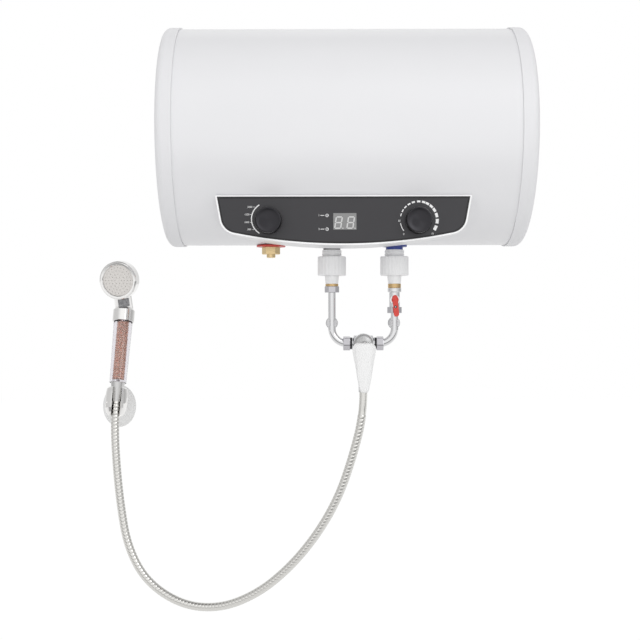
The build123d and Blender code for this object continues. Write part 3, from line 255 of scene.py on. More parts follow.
def new_group(name: str, takes: dict[str, str], gives: dict[str, str]) -> Wiring:
    """Starts a shader node group with named sockets.

    Args:
        name: The group's name.
        takes: Input names and their socket types.
        gives: Output names and their socket types.

    Returns:
        The group's wiring, still empty of nodes.
    """
    tree = bpy.data.node_groups.new(name, "ShaderNodeTree")
    wiring = Wiring(tree)
    for label, kind in takes.items():
        tree.interface.new_socket(name=label, in_out="INPUT", socket_type=kind)
    for label, kind in gives.items():
        tree.interface.new_socket(name=label, in_out="OUTPUT", socket_type=kind)
    return wiring


VECTOR_SOCKET = "NodeSocketVector"
COLOUR_SOCKET = "NodeSocketColor"
NUMBER_SOCKET = "NodeSocketFloat"
BROAD_DETAIL = 2.0
SMUDGE_SCALE = 34.0
SMUDGE_DETAIL = 4.0
LINE_DETAIL = 5.0


@cache
def surface_group() -> bpy.types.NodeTree:
    """Colour drift, uneven gloss and fine grain that every plain finish shares.

    Returns:
        A group that takes a vector, two tones, a roughness and amounts, and gives colour,
        roughness and height.
    """
    wiring = new_group(
        "surface",
        {
            "Vector": VECTOR_SOCKET,
            "Tone": COLOUR_SOCKET,
            "Second tone": COLOUR_SOCKET,
            "Drift": NUMBER_SOCKET,
            "Patch size": NUMBER_SOCKET,
            "Roughness": NUMBER_SOCKET,
            "Smudge": NUMBER_SOCKET,
            "Grain size": NUMBER_SOCKET,
        },
        {"Colour": COLOUR_SOCKET, "Roughness": NUMBER_SOCKET, "Height": NUMBER_SOCKET},
    )
    taken = wiring.node("NodeGroupInput").outputs
    given = wiring.node("NodeGroupOutput").inputs
    vector = taken["Vector"]
    patches = wiring.noise(vector, taken["Patch size"], BROAD_DETAIL)
    drift = wiring.math("MULTIPLY", patches, taken["Drift"])
    wiring.join(wiring.mix(drift, taken["Tone"], taken["Second tone"]), given["Colour"])
    uneven = wiring.noise(vector, SMUDGE_SCALE, SMUDGE_DETAIL)
    smudge = wiring.math("SUBTRACT", uneven, 0.5)
    spread = wiring.math("MULTIPLY", smudge, taken["Smudge"])
    wiring.join(wiring.math("ADD", taken["Roughness"], spread), given["Roughness"])
    wiring.join(wiring.noise(vector, taken["Grain size"], BROAD_DETAIL), given["Height"])
    return wiring.tree


@cache
def brushed_group() -> bpy.types.NodeTree:
    """Fine drawn lines along one direction.

    Returns:
        A group that takes a stretched vector and gives height and a roughness offset.
    """
    wiring = new_group(
        "drawn_lines",
        {"Vector": VECTOR_SOCKET, "Spread": NUMBER_SOCKET},
        {"Height": NUMBER_SOCKET, "Offset": NUMBER_SOCKET},
    )
    taken = wiring.node("NodeGroupInput").outputs
    given = wiring.node("NodeGroupOutput").inputs
    lines = wiring.noise(taken["Vector"], 1.0, LINE_DETAIL)
    wiring.join(lines, given["Height"])
    offset = wiring.math("MULTIPLY", wiring.math("SUBTRACT", lines, 0.5), taken["Spread"])
    wiring.join(offset, given["Offset"])
    return wiring.tree


@dataclass(frozen=True)
class Finish:
    """A surface finish, built as a node material.

    Attributes:
        name: The material's name.
        tone: Main colour, linear.
        second: Colour that the main one drifts towards.
        drift: How far it drifts, 0 to 1.
        patch: Scale of the drift's patches, in cycles a metre.
        roughness: Mean roughness.
        smudge: Spread of the roughness.
        metallic: 1 for bare metal.
        coat: Weight of a clear coat.
        grain: Scale of the fine bump, in cycles a metre.
        relief: Height of the fine bump in metres.
        lines: Scale of drawn lines on each axis, or nothing.
        line_relief: Height of the drawn lines in metres.
        clear: Transmission weight, 1 for clear material.
        index: Refractive index.
        turned: How far turned marks round the y axis draw out its highlights, 0 to 1.
    """

    name: str
    tone: Colour
    second: Colour
    drift: float = 0.5
    patch: float = 9.0
    roughness: float = 0.4
    smudge: float = 0.1
    metallic: float = 0.0
    coat: float = 0.0
    grain: float = 900.0
    relief: float = 0.00002
    lines: tuple[float, float, float] | None = None
    line_relief: float = 0.00003
    clear: float = 0.0
    index: float = 1.5
    turned: float = 0.0

    def build(self) -> bpy.types.Material:
        """Makes the material once.

        Returns:
            The material, new or already made.
        """
        known = bpy.data.materials.get(self.name)
        if known:
            return known
        material = bpy.data.materials.new(self.name)
        material.use_nodes = True
        wiring = Wiring(material.node_tree)
        output = wiring.node("ShaderNodeOutputMaterial")
        shader = wiring.node("ShaderNodeBsdfPrincipled")
        wiring.join(shader.outputs["BSDF"], output.inputs["Surface"])
        place = wiring.node("ShaderNodeTexCoord").outputs["Object"]
        surface = wiring.node("ShaderNodeGroup", node_tree=surface_group())
        wiring.join(place, surface.inputs["Vector"])
        wiring.join(surface.outputs["Colour"], shader.inputs["Base Color"])
        values = (
            (surface, "Tone", (*self.tone, 1.0)),
            (surface, "Second tone", (*self.second, 1.0)),
            (surface, "Drift", self.drift),
            (surface, "Patch size", self.patch),
            (surface, "Roughness", self.roughness),
            (surface, "Smudge", self.smudge),
            (surface, "Grain size", self.grain),
            (shader, "Metallic", self.metallic),
            (shader, "Coat Weight", self.coat),
            (shader, "IOR", self.index),
            (shader, "Transmission Weight", self.clear),
            (shader, "Anisotropic", self.turned),
        )
        for node, label, value in values:
            node.inputs[label].default_value = value
        if self.turned:
            round_axis = wiring.node("ShaderNodeTangent", direction_type="RADIAL", axis="Y")
            wiring.join(round_axis.outputs["Tangent"], shader.inputs["Tangent"])
        roughness = surface.outputs["Roughness"]
        normal = wiring.bump(surface.outputs["Height"], self.relief)
        if self.lines:
            stretch = wiring.node("ShaderNodeMapping")
            stretch.inputs["Scale"].default_value = self.lines
            wiring.join(place, stretch.inputs["Vector"])
            drawn = wiring.node("ShaderNodeGroup", node_tree=brushed_group())
            drawn.inputs["Spread"].default_value = self.smudge
            wiring.join(stretch.outputs["Vector"], drawn.inputs["Vector"])
            roughness = wiring.math("ADD", roughness, drawn.outputs["Offset"])
            normal = wiring.bump(drawn.outputs["Height"], self.line_relief, normal)
        wiring.join(roughness, shader.inputs["Roughness"])
        wiring.join(normal, shader.inputs["Normal"])
        return material


ENAMEL = Finish(
    "jacket_enamel", (0.80, 0.80, 0.815), (0.77, 0.77, 0.79),
    roughness=0.33, smudge=0.06, coat=0.25, grain=520.0, relief=0.00003,
)
CAP_MOULDING = Finish(
    "cap_moulding", (0.79, 0.79, 0.805), (0.75, 0.75, 0.77),
    roughness=0.42, smudge=0.08, grain=1500.0, relief=0.00003,
)
# Whiter than the housing: the housing's real front rim, with its extra brightness a painted
# highlight.
RIM_HIGHLIGHT_WHITE = Finish(
    "panel_rim_highlight", (0.96, 0.96, 0.965), (0.94, 0.94, 0.945),
    roughness=0.25, smudge=0.05,
)
HOUSING_WHITE = Finish(
    "panel_housing", (0.80, 0.80, 0.81), (0.77, 0.77, 0.78),
    roughness=0.34, smudge=0.06,
)
FASCIA_GREY = Finish(
    "fascia_film", (0.031, 0.030, 0.034), (0.040, 0.039, 0.043),
    roughness=0.42, smudge=0.08, grain=2600.0, relief=0.00002,
)
# Near-black line inside the fascia's edge: painted shade of the recessed edge.
FASCIA_EDGE_SHADE = Finish("fascia_edge_shade", (0.012, 0.012, 0.013), (0.016, 0.016, 0.018), roughness=0.5)
PRINT_WHITE = Finish("panel_print", (0.93, 0.93, 0.93), (0.88, 0.88, 0.89), roughness=0.5)
KNOB_BLACK = Finish(
    "knob_lacquer", (0.046, 0.045, 0.050), (0.058, 0.057, 0.062),
    roughness=0.30, smudge=0.06, metallic=1.0, turned=0.85,
)
WINDOW_GREY = Finish("display_film", (0.245, 0.245, 0.245), (0.28, 0.28, 0.28), roughness=0.25)
SEGMENT_PALE = Finish("segment_pale", (0.62, 0.62, 0.62), (0.56, 0.56, 0.55), roughness=0.4)
LENS = Finish("lamp_lens", (0.30, 0.30, 0.31), (0.24, 0.24, 0.25), roughness=0.2, coat=0.4)
RED_RING = Finish("red_moulding", (0.64, 0.066, 0.055), (0.56, 0.055, 0.047), roughness=0.3)
BLUE_RING = Finish("blue_moulding", (0.055, 0.085, 0.34), (0.045, 0.065, 0.28), roughness=0.4)
BLACK_RING = Finish("black_moulding", (0.035, 0.035, 0.04), (0.05, 0.05, 0.055), roughness=0.45)
BRASS = Finish(
    "turned_brass", (0.76, 0.57, 0.30), (0.84, 0.68, 0.42),
    roughness=0.15, smudge=0.1, metallic=1.0, lines=(60.0, 60.0, 2600.0), line_relief=0.00001,
)
NIPPLE_BRASS = Finish(
    "nipple_brass", (0.64, 0.44, 0.21), (0.70, 0.52, 0.30),
    roughness=0.2, smudge=0.1, metallic=1.0,
)
UNION_WHITE = Finish(
    "union_moulding", (0.90, 0.90, 0.905), (0.86, 0.86, 0.865),
    roughness=0.34, smudge=0.08,
)
CHROME = Finish(
    "bright_chrome", (0.79, 0.79, 0.80), (0.73, 0.73, 0.74),
    roughness=0.09, smudge=0.05, metallic=1.0, relief=0.000006,
)
NUT_CHROME = Finish(
    "nut_plating", (0.60, 0.592, 0.62), (0.52, 0.512, 0.54),
    roughness=0.12, smudge=0.06, metallic=1.0, relief=0.000006,
)
SATIN_CHROME = Finish(
    "satin_chrome", (0.60, 0.60, 0.60), (0.50, 0.50, 0.50),
    roughness=0.45, smudge=0.1, metallic=1.0,
)
# Glossy black: the valve lever's cup; the mixer's seals, whose black is partly painted shade of the
# gaps beside the nuts; and the neck's painted dark spot.
GLOSS_BLACK = Finish(
    "gloss_black", (0.012, 0.012, 0.013), (0.022, 0.022, 0.023),
    roughness=0.16, smudge=0.06,
)
CLIP_GREY = Finish("clip_moulding", (0.70, 0.70, 0.71), (0.64, 0.64, 0.66), roughness=0.45)
VALVE_RED = Finish(
    "valve_enamel", (0.69, 0.044, 0.028), (0.60, 0.034, 0.022),
    roughness=0.33, coat=0.3, relief=0.000008,
)
HANDLE_WHITE = Finish(
    "handle_lacquer", (0.87, 0.87, 0.87), (0.85, 0.85, 0.85),
    roughness=0.30, smudge=0.05, relief=0.000003,
)
HOSE_STEEL = Finish(
    "hose_strip", (0.80, 0.79, 0.76), (0.68, 0.67, 0.64),
    roughness=0.16, smudge=0.1, metallic=1.0, relief=0.000006,
)
PLATED = Finish(
    "bright_plating", (0.93, 0.922, 0.91), (0.88, 0.872, 0.86),
    roughness=0.1, smudge=0.05, metallic=1.0, relief=0.000006,
)
CONE_PLATING = Finish(
    "cone_plating", (0.66, 0.655, 0.65), (0.58, 0.575, 0.57),
    roughness=0.14, smudge=0.06, metallic=1.0, relief=0.000006,
)
PLATE_BEIGE = Finish("spray_plate", (0.76, 0.73, 0.70), (0.70, 0.675, 0.65), roughness=0.35)
# Dark and mid grey in patches: painted reflection of dark surroundings on the neck's front.
NECK_REFLECTION_PAINT = Finish(
    "neck_reflection_paint", (0.03, 0.03, 0.035), (0.50, 0.50, 0.51),
    drift=1.0, patch=380.0, roughness=0.5, grain=420.0, relief=0.0004,
)
CLEAR = Finish(
    "clear_handle", (0.80, 0.78, 0.81), (0.78, 0.76, 0.80),
    roughness=0.03, smudge=0.02, clear=1.0, index=1.49, relief=0.000004,
)
BEAD = Finish(
    "filter_bead", (0.98, 0.50, 0.375), (1.0, 0.77, 0.58),
    drift=1.0, patch=160.0, roughness=0.6, grain=1800.0, relief=0.0001,
)
BASE_WHITE = Finish(
    "holder_base", (0.86, 0.86, 0.855), (0.82, 0.82, 0.815),
    roughness=0.30, smudge=0.06, relief=0.000003,
)
TANK_ENAMEL = Finish(
    "tank_enamel", (0.10, 0.14, 0.20), (0.13, 0.17, 0.24),
    roughness=0.25, coat=0.4,
)
FOAM = Finish(
    "foam", (0.74, 0.62, 0.36), (0.66, 0.53, 0.28),
    drift=1.0, roughness=0.95, grain=420.0, relief=0.0008,
)
ZINC = Finish(
    "zinc_plate", (0.60, 0.61, 0.63), (0.50, 0.51, 0.53),
    roughness=0.38, smudge=0.2, metallic=1.0, grain=300.0,
)
RUBBER = Finish(
    "matt_rubber", (0.030, 0.030, 0.030), (0.045, 0.045, 0.045),
    roughness=0.75, relief=0.0001,
)
COPPER = Finish(
    "drawn_copper", (0.66, 0.34, 0.22), (0.56, 0.27, 0.17),
    roughness=0.32, smudge=0.16, metallic=1.0, lines=(40.0, 1800.0, 1800.0),
)
MAGNESIUM = Finish(
    "cast_magnesium", (0.52, 0.52, 0.51), (0.42, 0.42, 0.41),
    roughness=0.6, metallic=1.0, relief=0.0002,
)
CONTROL_BLACK = Finish("control_moulding", (0.05, 0.05, 0.055), (0.07, 0.07, 0.075), roughness=0.55)
BOARD_GREEN = Finish("solder_mask", (0.02, 0.15, 0.07), (0.03, 0.20, 0.09), roughness=0.4)
CERAMIC = Finish("disc_ceramic", (0.78, 0.77, 0.74), (0.72, 0.71, 0.68), roughness=0.5)


# Modelling by hand, in a seat's millimetres


def start_clean() -> None:
    """Leaves edit mode and selects nothing."""
    active = bpy.context.view_layer.objects.active
    if active and active.mode != "OBJECT":
        bpy.ops.object.mode_set(mode="OBJECT")
    bpy.ops.object.select_all(action="DESELECT")


def take(piece: Piece) -> None:
    """Selects one piece alone and makes it active.

    Args:
        piece: The piece.
    """
    start_clean()
    piece.select_set(True)
    bpy.context.view_layer.objects.active = piece


def edit_all(piece: Piece) -> None:
    """Enters edit mode on a piece with all of it selected.

    Args:
        piece: The piece.
    """
    take(piece)
    bpy.ops.object.mode_set(mode="EDIT")
    bpy.ops.mesh.select_all(action="SELECT")


def extrude(rise: float) -> None:
    """Extrudes the selection along the local z axis."""
    bpy.ops.mesh.extrude_region_move(TRANSFORM_OT_translate={"value": (0, 0, rise)})


def ring_of(name: str, count: int) -> Piece:
    """Starts a piece as a ring of vertices, which are then put in place one by one.

    Args:
        name: The piece's name.
        count: Number of vertices.

    Returns:
        The ring, of radius 1.
    """
    start_clean()
    bpy.ops.mesh.primitive_circle_add(vertices=count, radius=1, fill_type="NOTHING")
    piece = bpy.context.object
    piece.name = name
    return piece


def pick(piece: Piece, wanted: Iterable[int]) -> None:
    """Selects some vertices alone and enters edit mode on them.

    Args:
        piece: The piece.
        wanted: Indices of the vertices.
    """
    take(piece)
    bpy.ops.object.mode_set(mode="EDIT")
    bpy.ops.mesh.select_mode(type="VERT")
    bpy.ops.mesh.select_all(action="DESELECT")
    bpy.ops.object.mode_set(mode="OBJECT")
    for index in wanted:
        piece.data.vertices[index].select = True
    bpy.ops.object.mode_set(mode="EDIT")


def grow_ring(rise: float, scale: float, height: float) -> None:
    """Extrudes the selected ring by a rise and scales it about the local axis."""
    extrude(rise)
    bpy.ops.transform.resize(value=(scale, scale, 1), center_override=(0, 0, height))


def close_pole(rise: float) -> None:
    """Extrudes the selected ring to one point on the axis."""
    extrude(rise)
    bpy.ops.mesh.merge(type="CENTER")


def lathe(name: str, outline: Outline, steps: int = 64) -> Piece:
    """Turns an outline of (radius, height) about the local z axis.

    A first or last radius of 0 closes that end on the axis. An outline with neither is a ring,
    whose last point is joined to its first.

    Args:
        name: The piece's name.
        outline: Points of the half section, in order, in millimetres.
        steps: Number of sides.

    Returns:
        The closed piece, still in its own millimetres.
    """
    start_clean()
    inner = [point for point in outline if point[0] > 0]
    radius, height = inner[0]
    bpy.ops.mesh.primitive_circle_add(
        vertices=steps, radius=radius, fill_type="NOTHING", location=(0, 0, height)
    )
    piece = bpy.context.object
    piece.name = name
    bpy.ops.object.transform_apply(location=True)
    edit_all(piece)
    for (radius_before, height_before), (radius_now, height_now) in zip(inner, inner[1:]):
        grow_ring(height_now - height_before, radius_now / radius_before, height_now)
    if outline[-1][0] == 0:
        close_pole(outline[-1][1] - inner[-1][1])
    if outline[0][0] == 0:
        pick(piece, range(steps))
        close_pole(outline[0][1] - inner[0][1])
    if outline[0][0] > 0 and outline[-1][0] > 0:
        bpy.ops.object.mode_set(mode="OBJECT")
        total = len(piece.data.vertices)
        pick(piece, [*range(steps), *range(total - steps, total)])
        bpy.ops.mesh.bridge_edge_loops()
    tidy_shell(piece)
    return piece


def tidy_shell(piece: Piece) -> None:
    """Merges doubles and turns every face outwards.

    Args:
        piece: The piece, in its own millimetres.
    """
    edit_all(piece)
    bpy.ops.mesh.remove_doubles(threshold=MERGE_GAP)
    bpy.ops.mesh.normals_make_consistent(inside=False)
    bpy.ops.object.mode_set(mode="OBJECT")


def layered(name: str, loops: Sequence[Sequence[Place]]) -> Piece:
    """Closed piece through loops of as many points, from its first face to its last.

    Args:
        name: The piece's name.
        loops: Points round each loop, in millimetres.

    Returns:
        The closed piece, still in its own millimetres.
    """
    count = len(loops[0])
    piece = ring_of(name, count)
    edit_all(piece)
    for _ in loops[1:]:
        extrude(1)
    bpy.ops.object.mode_set(mode="OBJECT")
    for vertex, place in zip(piece.data.vertices, (point for loop in loops for point in loop)):
        vertex.co = place
    for first in (0, count * (len(loops) - 1)):
        pick(piece, range(first, first + count))
        bpy.ops.mesh.edge_face_add()
    tidy_shell(piece)
    return piece


def slab(name: str, outline: Outline, thickness: float) -> Piece:
    """Flat piece with a given outline and thickness, in its own millimetres."""
    return layered(name, [[(x, y, height) for x, y in outline] for height in (0.0, thickness)])


def band(name: str, outer: Outline, inner: Outline, thickness: float) -> Piece:
    """Flat ring between two outlines of as many points, extruded along the local z axis.

    Args:
        name: The piece's name.
        outer: Points round the outer edge, in millimetres.
        inner: Points round the inner edge.
        thickness: Height of the extrusion.

    Returns:
        The closed piece, still in its own millimetres.
    """
    piece = ring_of(name, len(outer))
    edit_all(piece)
    extrude(0)
    bpy.ops.object.mode_set(mode="OBJECT")
    for vertex, (x, y) in zip(piece.data.vertices, (*outer, *inner)):
        vertex.co = (x, y, 0)
    edit_all(piece)
    extrude(thickness)
    tidy_shell(piece)
    return piece


def round_points(radius: float, count: int, depth: float = 0.0, flutes: int = 0) -> Points:
    """Points round a circle, with narrow flutes cut into it where a depth is given.

    Args:
        radius: The circle's radius in millimetres.
        count: Number of points.
        depth: Depth of the flutes.
        flutes: Number of flutes.

    Returns:
        The points, in millimetres.
    """
    points = []
    for step in range(count):
        turn = 2 * math.pi * step / count
        reach = radius - depth * abs(math.sin(flutes * turn / 2)) ** FLUTE_SHARPNESS
        points.append((reach * math.cos(turn), reach * math.sin(turn)))
    return points


def six_sided(radius: float, corner: float, count: int, turn: float) -> Points:
    """Points round a hexagon whose corners are turned down to a radius.

    Args:
        radius: Half the width across its sharp corners.
        corner: Radius of the turned corners.
        count: Number of points.
        turn: Angle of a corner from the x axis, in degrees.

    Returns:
        The points, in millimetres.
    """
    flat = radius * math.cos(math.pi / 6)
    points = []
    for step in range(count):
        angle = 2 * math.pi * step / count
        reach = min(flat / math.cos(angle % (math.pi / 3) - math.pi / 6), corner)
        place = angle + math.radians(turn)
        points.append((reach * math.cos(place), reach * math.sin(place)))
    return points


def smooth_through(points: Outline, steps: int) -> Points:
    """Points on a smooth curve through some others.

    Args:
        points: The points that it passes through.
        steps: Number of points for each span between them.

    Returns:
        The curve's points.
    """
    ends = [points[0], *points, points[-1]]
    curve = []
    for before, start, end, after in zip(ends, ends[1:], ends[2:], ends[3:]):
        for step in range(steps):
            share = step / steps
            curve.append(tuple(
                0.5 * (2 * b + (c - a) * share + (2 * a - 5 * b + 4 * c - d) * share ** 2
                       + (3 * b - a - 3 * c + d) * share ** 3)
                for a, b, c, d in zip(before, start, end, after)
            ))
    curve.append(tuple(points[-1]))
    return curve


def arc_bar(
    name: str, inner: float, outer: float, start: float, sweep: float, thickness: float
) -> Piece:
    """Flat bar bent round the local z axis.

    Args:
        name: The piece's name.
        inner: Inner radius in millimetres.
        outer: Outer radius.
        start: Angle of its first end in degrees.
        sweep: Angle that it covers in degrees.
        thickness: Height along the axis.

    Returns:
        The closed piece, still in its own millimetres.
    """
    start_clean()
    bpy.ops.mesh.primitive_plane_add(size=1)
    piece = bpy.context.object
    piece.name = name
    corners = ((inner, 0.0), (outer, 0.0), (inner, thickness), (outer, thickness))
    turn = math.radians(start)
    for vertex, (radius, height) in zip(piece.data.vertices, corners):
        vertex.co = (radius * math.cos(turn), radius * math.sin(turn), height)
    edit_all(piece)
    steps = max(2, int(sweep / DEGREES_A_STEP))
    bpy.ops.mesh.spin(
        steps=steps, angle=math.radians(sweep), center=(0, 0, 0), axis=(0, 0, -1)
    )
    tidy_shell(piece)
    return piece


def number_plate(name: str, text: str, size: float, thickness: float) -> Piece:
    """Raised plain number, centred on the local origin.

    Args:
        name: The piece's name.
        text: The digits.
        size: Height of the type in millimetres.
        thickness: Height along the axis.

    Returns:
        The piece as a mesh, still in its own millimetres.
    """
    start_clean()
    bpy.ops.object.text_add()
    piece = bpy.context.object
    piece.data.body = text
    piece.data.size = size
    piece.data.extrude = thickness / 2
    piece.data.align_x = "CENTER"
    piece.data.align_y = "CENTER"
    bpy.ops.object.convert(target="MESH")
    piece = bpy.context.object
    piece.name = name
    tidy_shell(piece)
    return piece


def joined(name: str, pieces: Sequence[Piece]) -> Piece:
    """Joins several pieces into the first.

    Args:
        name: The joined piece's name.
        pieces: The pieces.

    Returns:
        The joined piece.
    """
    start_clean()
    for piece in pieces:
        piece.select_set(True)
    bpy.context.view_layer.objects.active = pieces[0]
    bpy.ops.object.join()
    pieces[0].name = name
    return pieces[0]


def copied(piece: Piece, move: Matrix) -> Piece:
    """Copies a piece and its mesh.

    Args:
        piece: The piece that is copied.
        move: Where the copy goes, in the piece's own millimetres.

    Returns:
        The copy.
    """
    twin = piece.copy()
    twin.data = piece.data.copy()
    twin.data.transform(move)
    bpy.context.collection.objects.link(twin)
    return twin


def softened(piece: Piece, width: float, segments: int = 2, angle: float = 30.0) -> None:
    """Rounds a piece's sharp edges.

    Args:
        piece: The piece, in its own millimetres.
        width: Width of the bevel.
        segments: Faces across it.
        angle: Least angle between faces that counts as sharp, in degrees.
    """
    take(piece)
    bevel = piece.modifiers.new("round", "BEVEL")
    bevel.width = width
    bevel.segments = segments
    bevel.limit_method = "ANGLE"
    bevel.angle_limit = math.radians(angle)
    bpy.ops.object.modifier_apply(modifier=bevel.name)


def set_down(
    piece: Piece, seat: Seat, finish: Finish, body: Body, smooth: float = 35.0
) -> Piece:
    """Puts a finished piece in its place, dresses it and lets it ride.

    Args:
        piece: The piece, modelled in its seat's millimetres.
        seat: Where it goes.
        finish: What it is made of.
        body: The body it rides on.
        smooth: Angle in degrees under which faces shade smoothly.

    Returns:
        The piece.
    """
    piece.data.transform(seat.matrix())
    piece.data.update()
    take(piece)
    bpy.ops.object.shade_smooth_by_angle(angle=math.radians(smooth))
    piece.data.materials.clear()
    piece.data.materials.append(finish.build())
    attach(piece, body.value)
    LOG.info("placed %s on %s", piece.name, body.value)
    return piece


def dress(nodes: Nodes, finishes: dict[str, Finish]) -> None:
    """Gives some of the frame's nodes their finishes.

    Args:
        nodes: The frame's nodes by name.
        finishes: Finish of each node.
    """
    for name, finish in finishes.items():
        for material_slot in nodes[name].material_slots:
            material_slot.material = finish.build()
        LOG.info("dressed %s", name)


@dataclass
class Studio:
    """Camera, lamps, floor and surroundings.

    Attributes:
        camera_at: The camera's place in metres.
        lens: Focal length in millimetres.
        sensor: Sensor width in millimetres.
        view_end: Distance that the camera sees to, in metres.
        pitch: How far the camera looks up, in radians.
        roll: How far it leans, in radians.
        floor_height: Height of the floor in metres.
        floor_side: Length of its sides in metres.
        floor_grey: Share of the light that it reflects.
        floor_shown: How far its own glow covers that grey, to the camera and in gloss.
        ambient: Strength of the surroundings on matt surfaces.
        mirrored: Strength of the surroundings in glossy surfaces.
        floor_glow: Strength at which the floor shows to the camera.
        around_levels: Grey levels round the horizon, from behind by the left and the front.
        upward_levels: Grey levels from straight down to straight up.
        floor_levels: Grey levels across the floor, from the camera's side to the wall's.
        floor_span: Where those levels start and end, in metres.
        lamps: Name, place, side in metres and power in watts of each lamp, and whether
            bright metal shows it.
        lamp_aim: Point that the lamps look at.
    """

    camera_at: Place = (-0.0399, -1.9759, -0.3813)
    lens: float = 63.0
    sensor: float = 36.0
    view_end: float = 30.0
    pitch: float = 0.0009
    roll: float = 0.0018
    floor_height: float = -1.02
    floor_side: float = 14.0
    floor_grey: float = 0.86
    floor_shown: float = 0.9
    ambient: float = 0.72
    mirrored: float = 1.06
    floor_glow: float = 1.05
    around_levels: Pairs = (
        (0.0, 0.92), (0.10, 0.74), (0.20, 0.60), (0.33, 0.63), (0.43, 0.96), (0.53, 1.0),
        (0.60, 0.82), (0.68, 0.62), (0.79, 0.42), (0.90, 0.66), (1.0, 0.92),
    )
    upward_levels: Pairs = (
        (0.0, 0.9), (0.44, 0.9), (0.50, 1.0), (0.88, 0.95), (0.95, 0.35), (1.0, 0.30),
    )
    floor_levels: Pairs = (
        (0.0, 1.0), (0.20, 0.97), (0.27, 0.30), (0.36, 0.30), (0.44, 0.85), (0.6, 0.95),
        (1.0, 1.0),
    )
    floor_span: tuple[float, float] = (-4.0, 4.0)
    lamps: tuple[tuple[str, Place, float, float, bool], ...] = (
        ("key_lamp", (1.5, -2.1, 1.0), 1.6, 11.3, True),
        ("fill_lamp", (-1.6, -2.1, 0.7), 1.6, 6.5, False),
        ("top_lamp", (0.0, -0.7, 1.9), 1.6, 4.5, False),
        ("low_lamp", (0.1, -2.5, -0.6), 1.0, 6.0, False),
    )
    lamp_aim: Place = (0.0, -0.25, -0.2)

    def build(self) -> None:
        """Makes the whole studio."""
        self.add_camera()
        self.add_world()
        self.add_floor()
        for lamp in self.lamps:
            self.add_lamp(*lamp)

    def add_camera(self) -> None:
        """Sets the camera at the photograph's viewpoint."""
        data = bpy.data.cameras.new("camera")
        data.lens = self.lens
        data.sensor_width = self.sensor
        data.clip_end = self.view_end
        camera = bpy.data.objects.new("camera", data)
        camera.location = self.camera_at
        camera.rotation_euler = Euler((math.pi / 2 + self.pitch, self.roll, 0.0))
        bpy.context.collection.objects.link(camera)
        bpy.context.scene.camera = camera

    def add_world(self) -> None:
        """White surroundings, with soft darker bands that only glossy surfaces show."""
        world = bpy.data.worlds.new("studio")
        bpy.context.scene.world = world
        world.use_nodes = True
        wiring = Wiring(world.node_tree)
        output = wiring.node("ShaderNodeOutputWorld")
        direction = wiring.node("ShaderNodeTexCoord").outputs["Generated"]
        parts = wiring.node("ShaderNodeSeparateXYZ")
        wiring.join(direction, parts.inputs["Vector"])
        ahead = wiring.math("MULTIPLY", parts.outputs["Y"], -1.0)
        turn = wiring.math("ARCTAN2", parts.outputs["X"], ahead)
        around = wiring.math("ADD", wiring.math("DIVIDE", turn, 2 * math.pi), 0.5)
        upwards = wiring.math("ADD", wiring.math("MULTIPLY", parts.outputs["Z"], 0.5), 0.5)
        mix = wiring.node("ShaderNodeMix", data_type="RGBA", blend_type="MULTIPLY")
        mix.inputs["Factor"].default_value = 1.0
        wiring.join(self.bands(wiring, around, self.around_levels), mix.inputs["A"])
        wiring.join(self.bands(wiring, upwards, self.upward_levels), mix.inputs["B"])
        matt = self.background(wiring, self.ambient)
        bright = self.background(wiring, self.mirrored)
        wiring.join(mix.outputs["Result"], bright.inputs["Color"])
        white = self.background(wiring, 1.0)
        rays = wiring.node("ShaderNodeLightPath").outputs
        lit = wiring.mix(
            rays["Is Glossy Ray"], matt.outputs["Background"], bright.outputs["Background"]
        )
        seen = wiring.math("MAXIMUM", rays["Is Camera Ray"], rays["Is Transmission Ray"])
        wiring.join(wiring.mix(seen, lit, white.outputs["Background"]), output.inputs["Surface"])

    def background(self, wiring: Wiring, strength: float) -> bpy.types.Node:
        """Adds a white background.

        Args:
            wiring: The node tree.
            strength: Its strength, 1 for white.

        Returns:
            The background node.
        """
        made = wiring.node("ShaderNodeBackground")
        made.inputs["Color"].default_value = (*WHITE, 1.0)
        made.inputs["Strength"].default_value = strength
        return made

    def bands(self, wiring: Wiring, place: Socket, levels: Pairs) -> Socket:
        """Adds a ramp of grey levels.

        Args:
            wiring: The node tree.
            place: Position along the ramp, 0 to 1.
            levels: Positions and the grey level at each.

        Returns:
            The ramp's colour socket.
        """
        node = wiring.node("ShaderNodeValToRGB")
        ramp = node.color_ramp
        while len(ramp.elements) < len(levels):
            ramp.elements.new(0.5)
        for element, (position, level) in zip(ramp.elements, levels):
            element.position = position
            element.color = (level, level, level, 1.0)
        wiring.join(place, node.inputs["Fac"])
        return node.outputs["Color"]

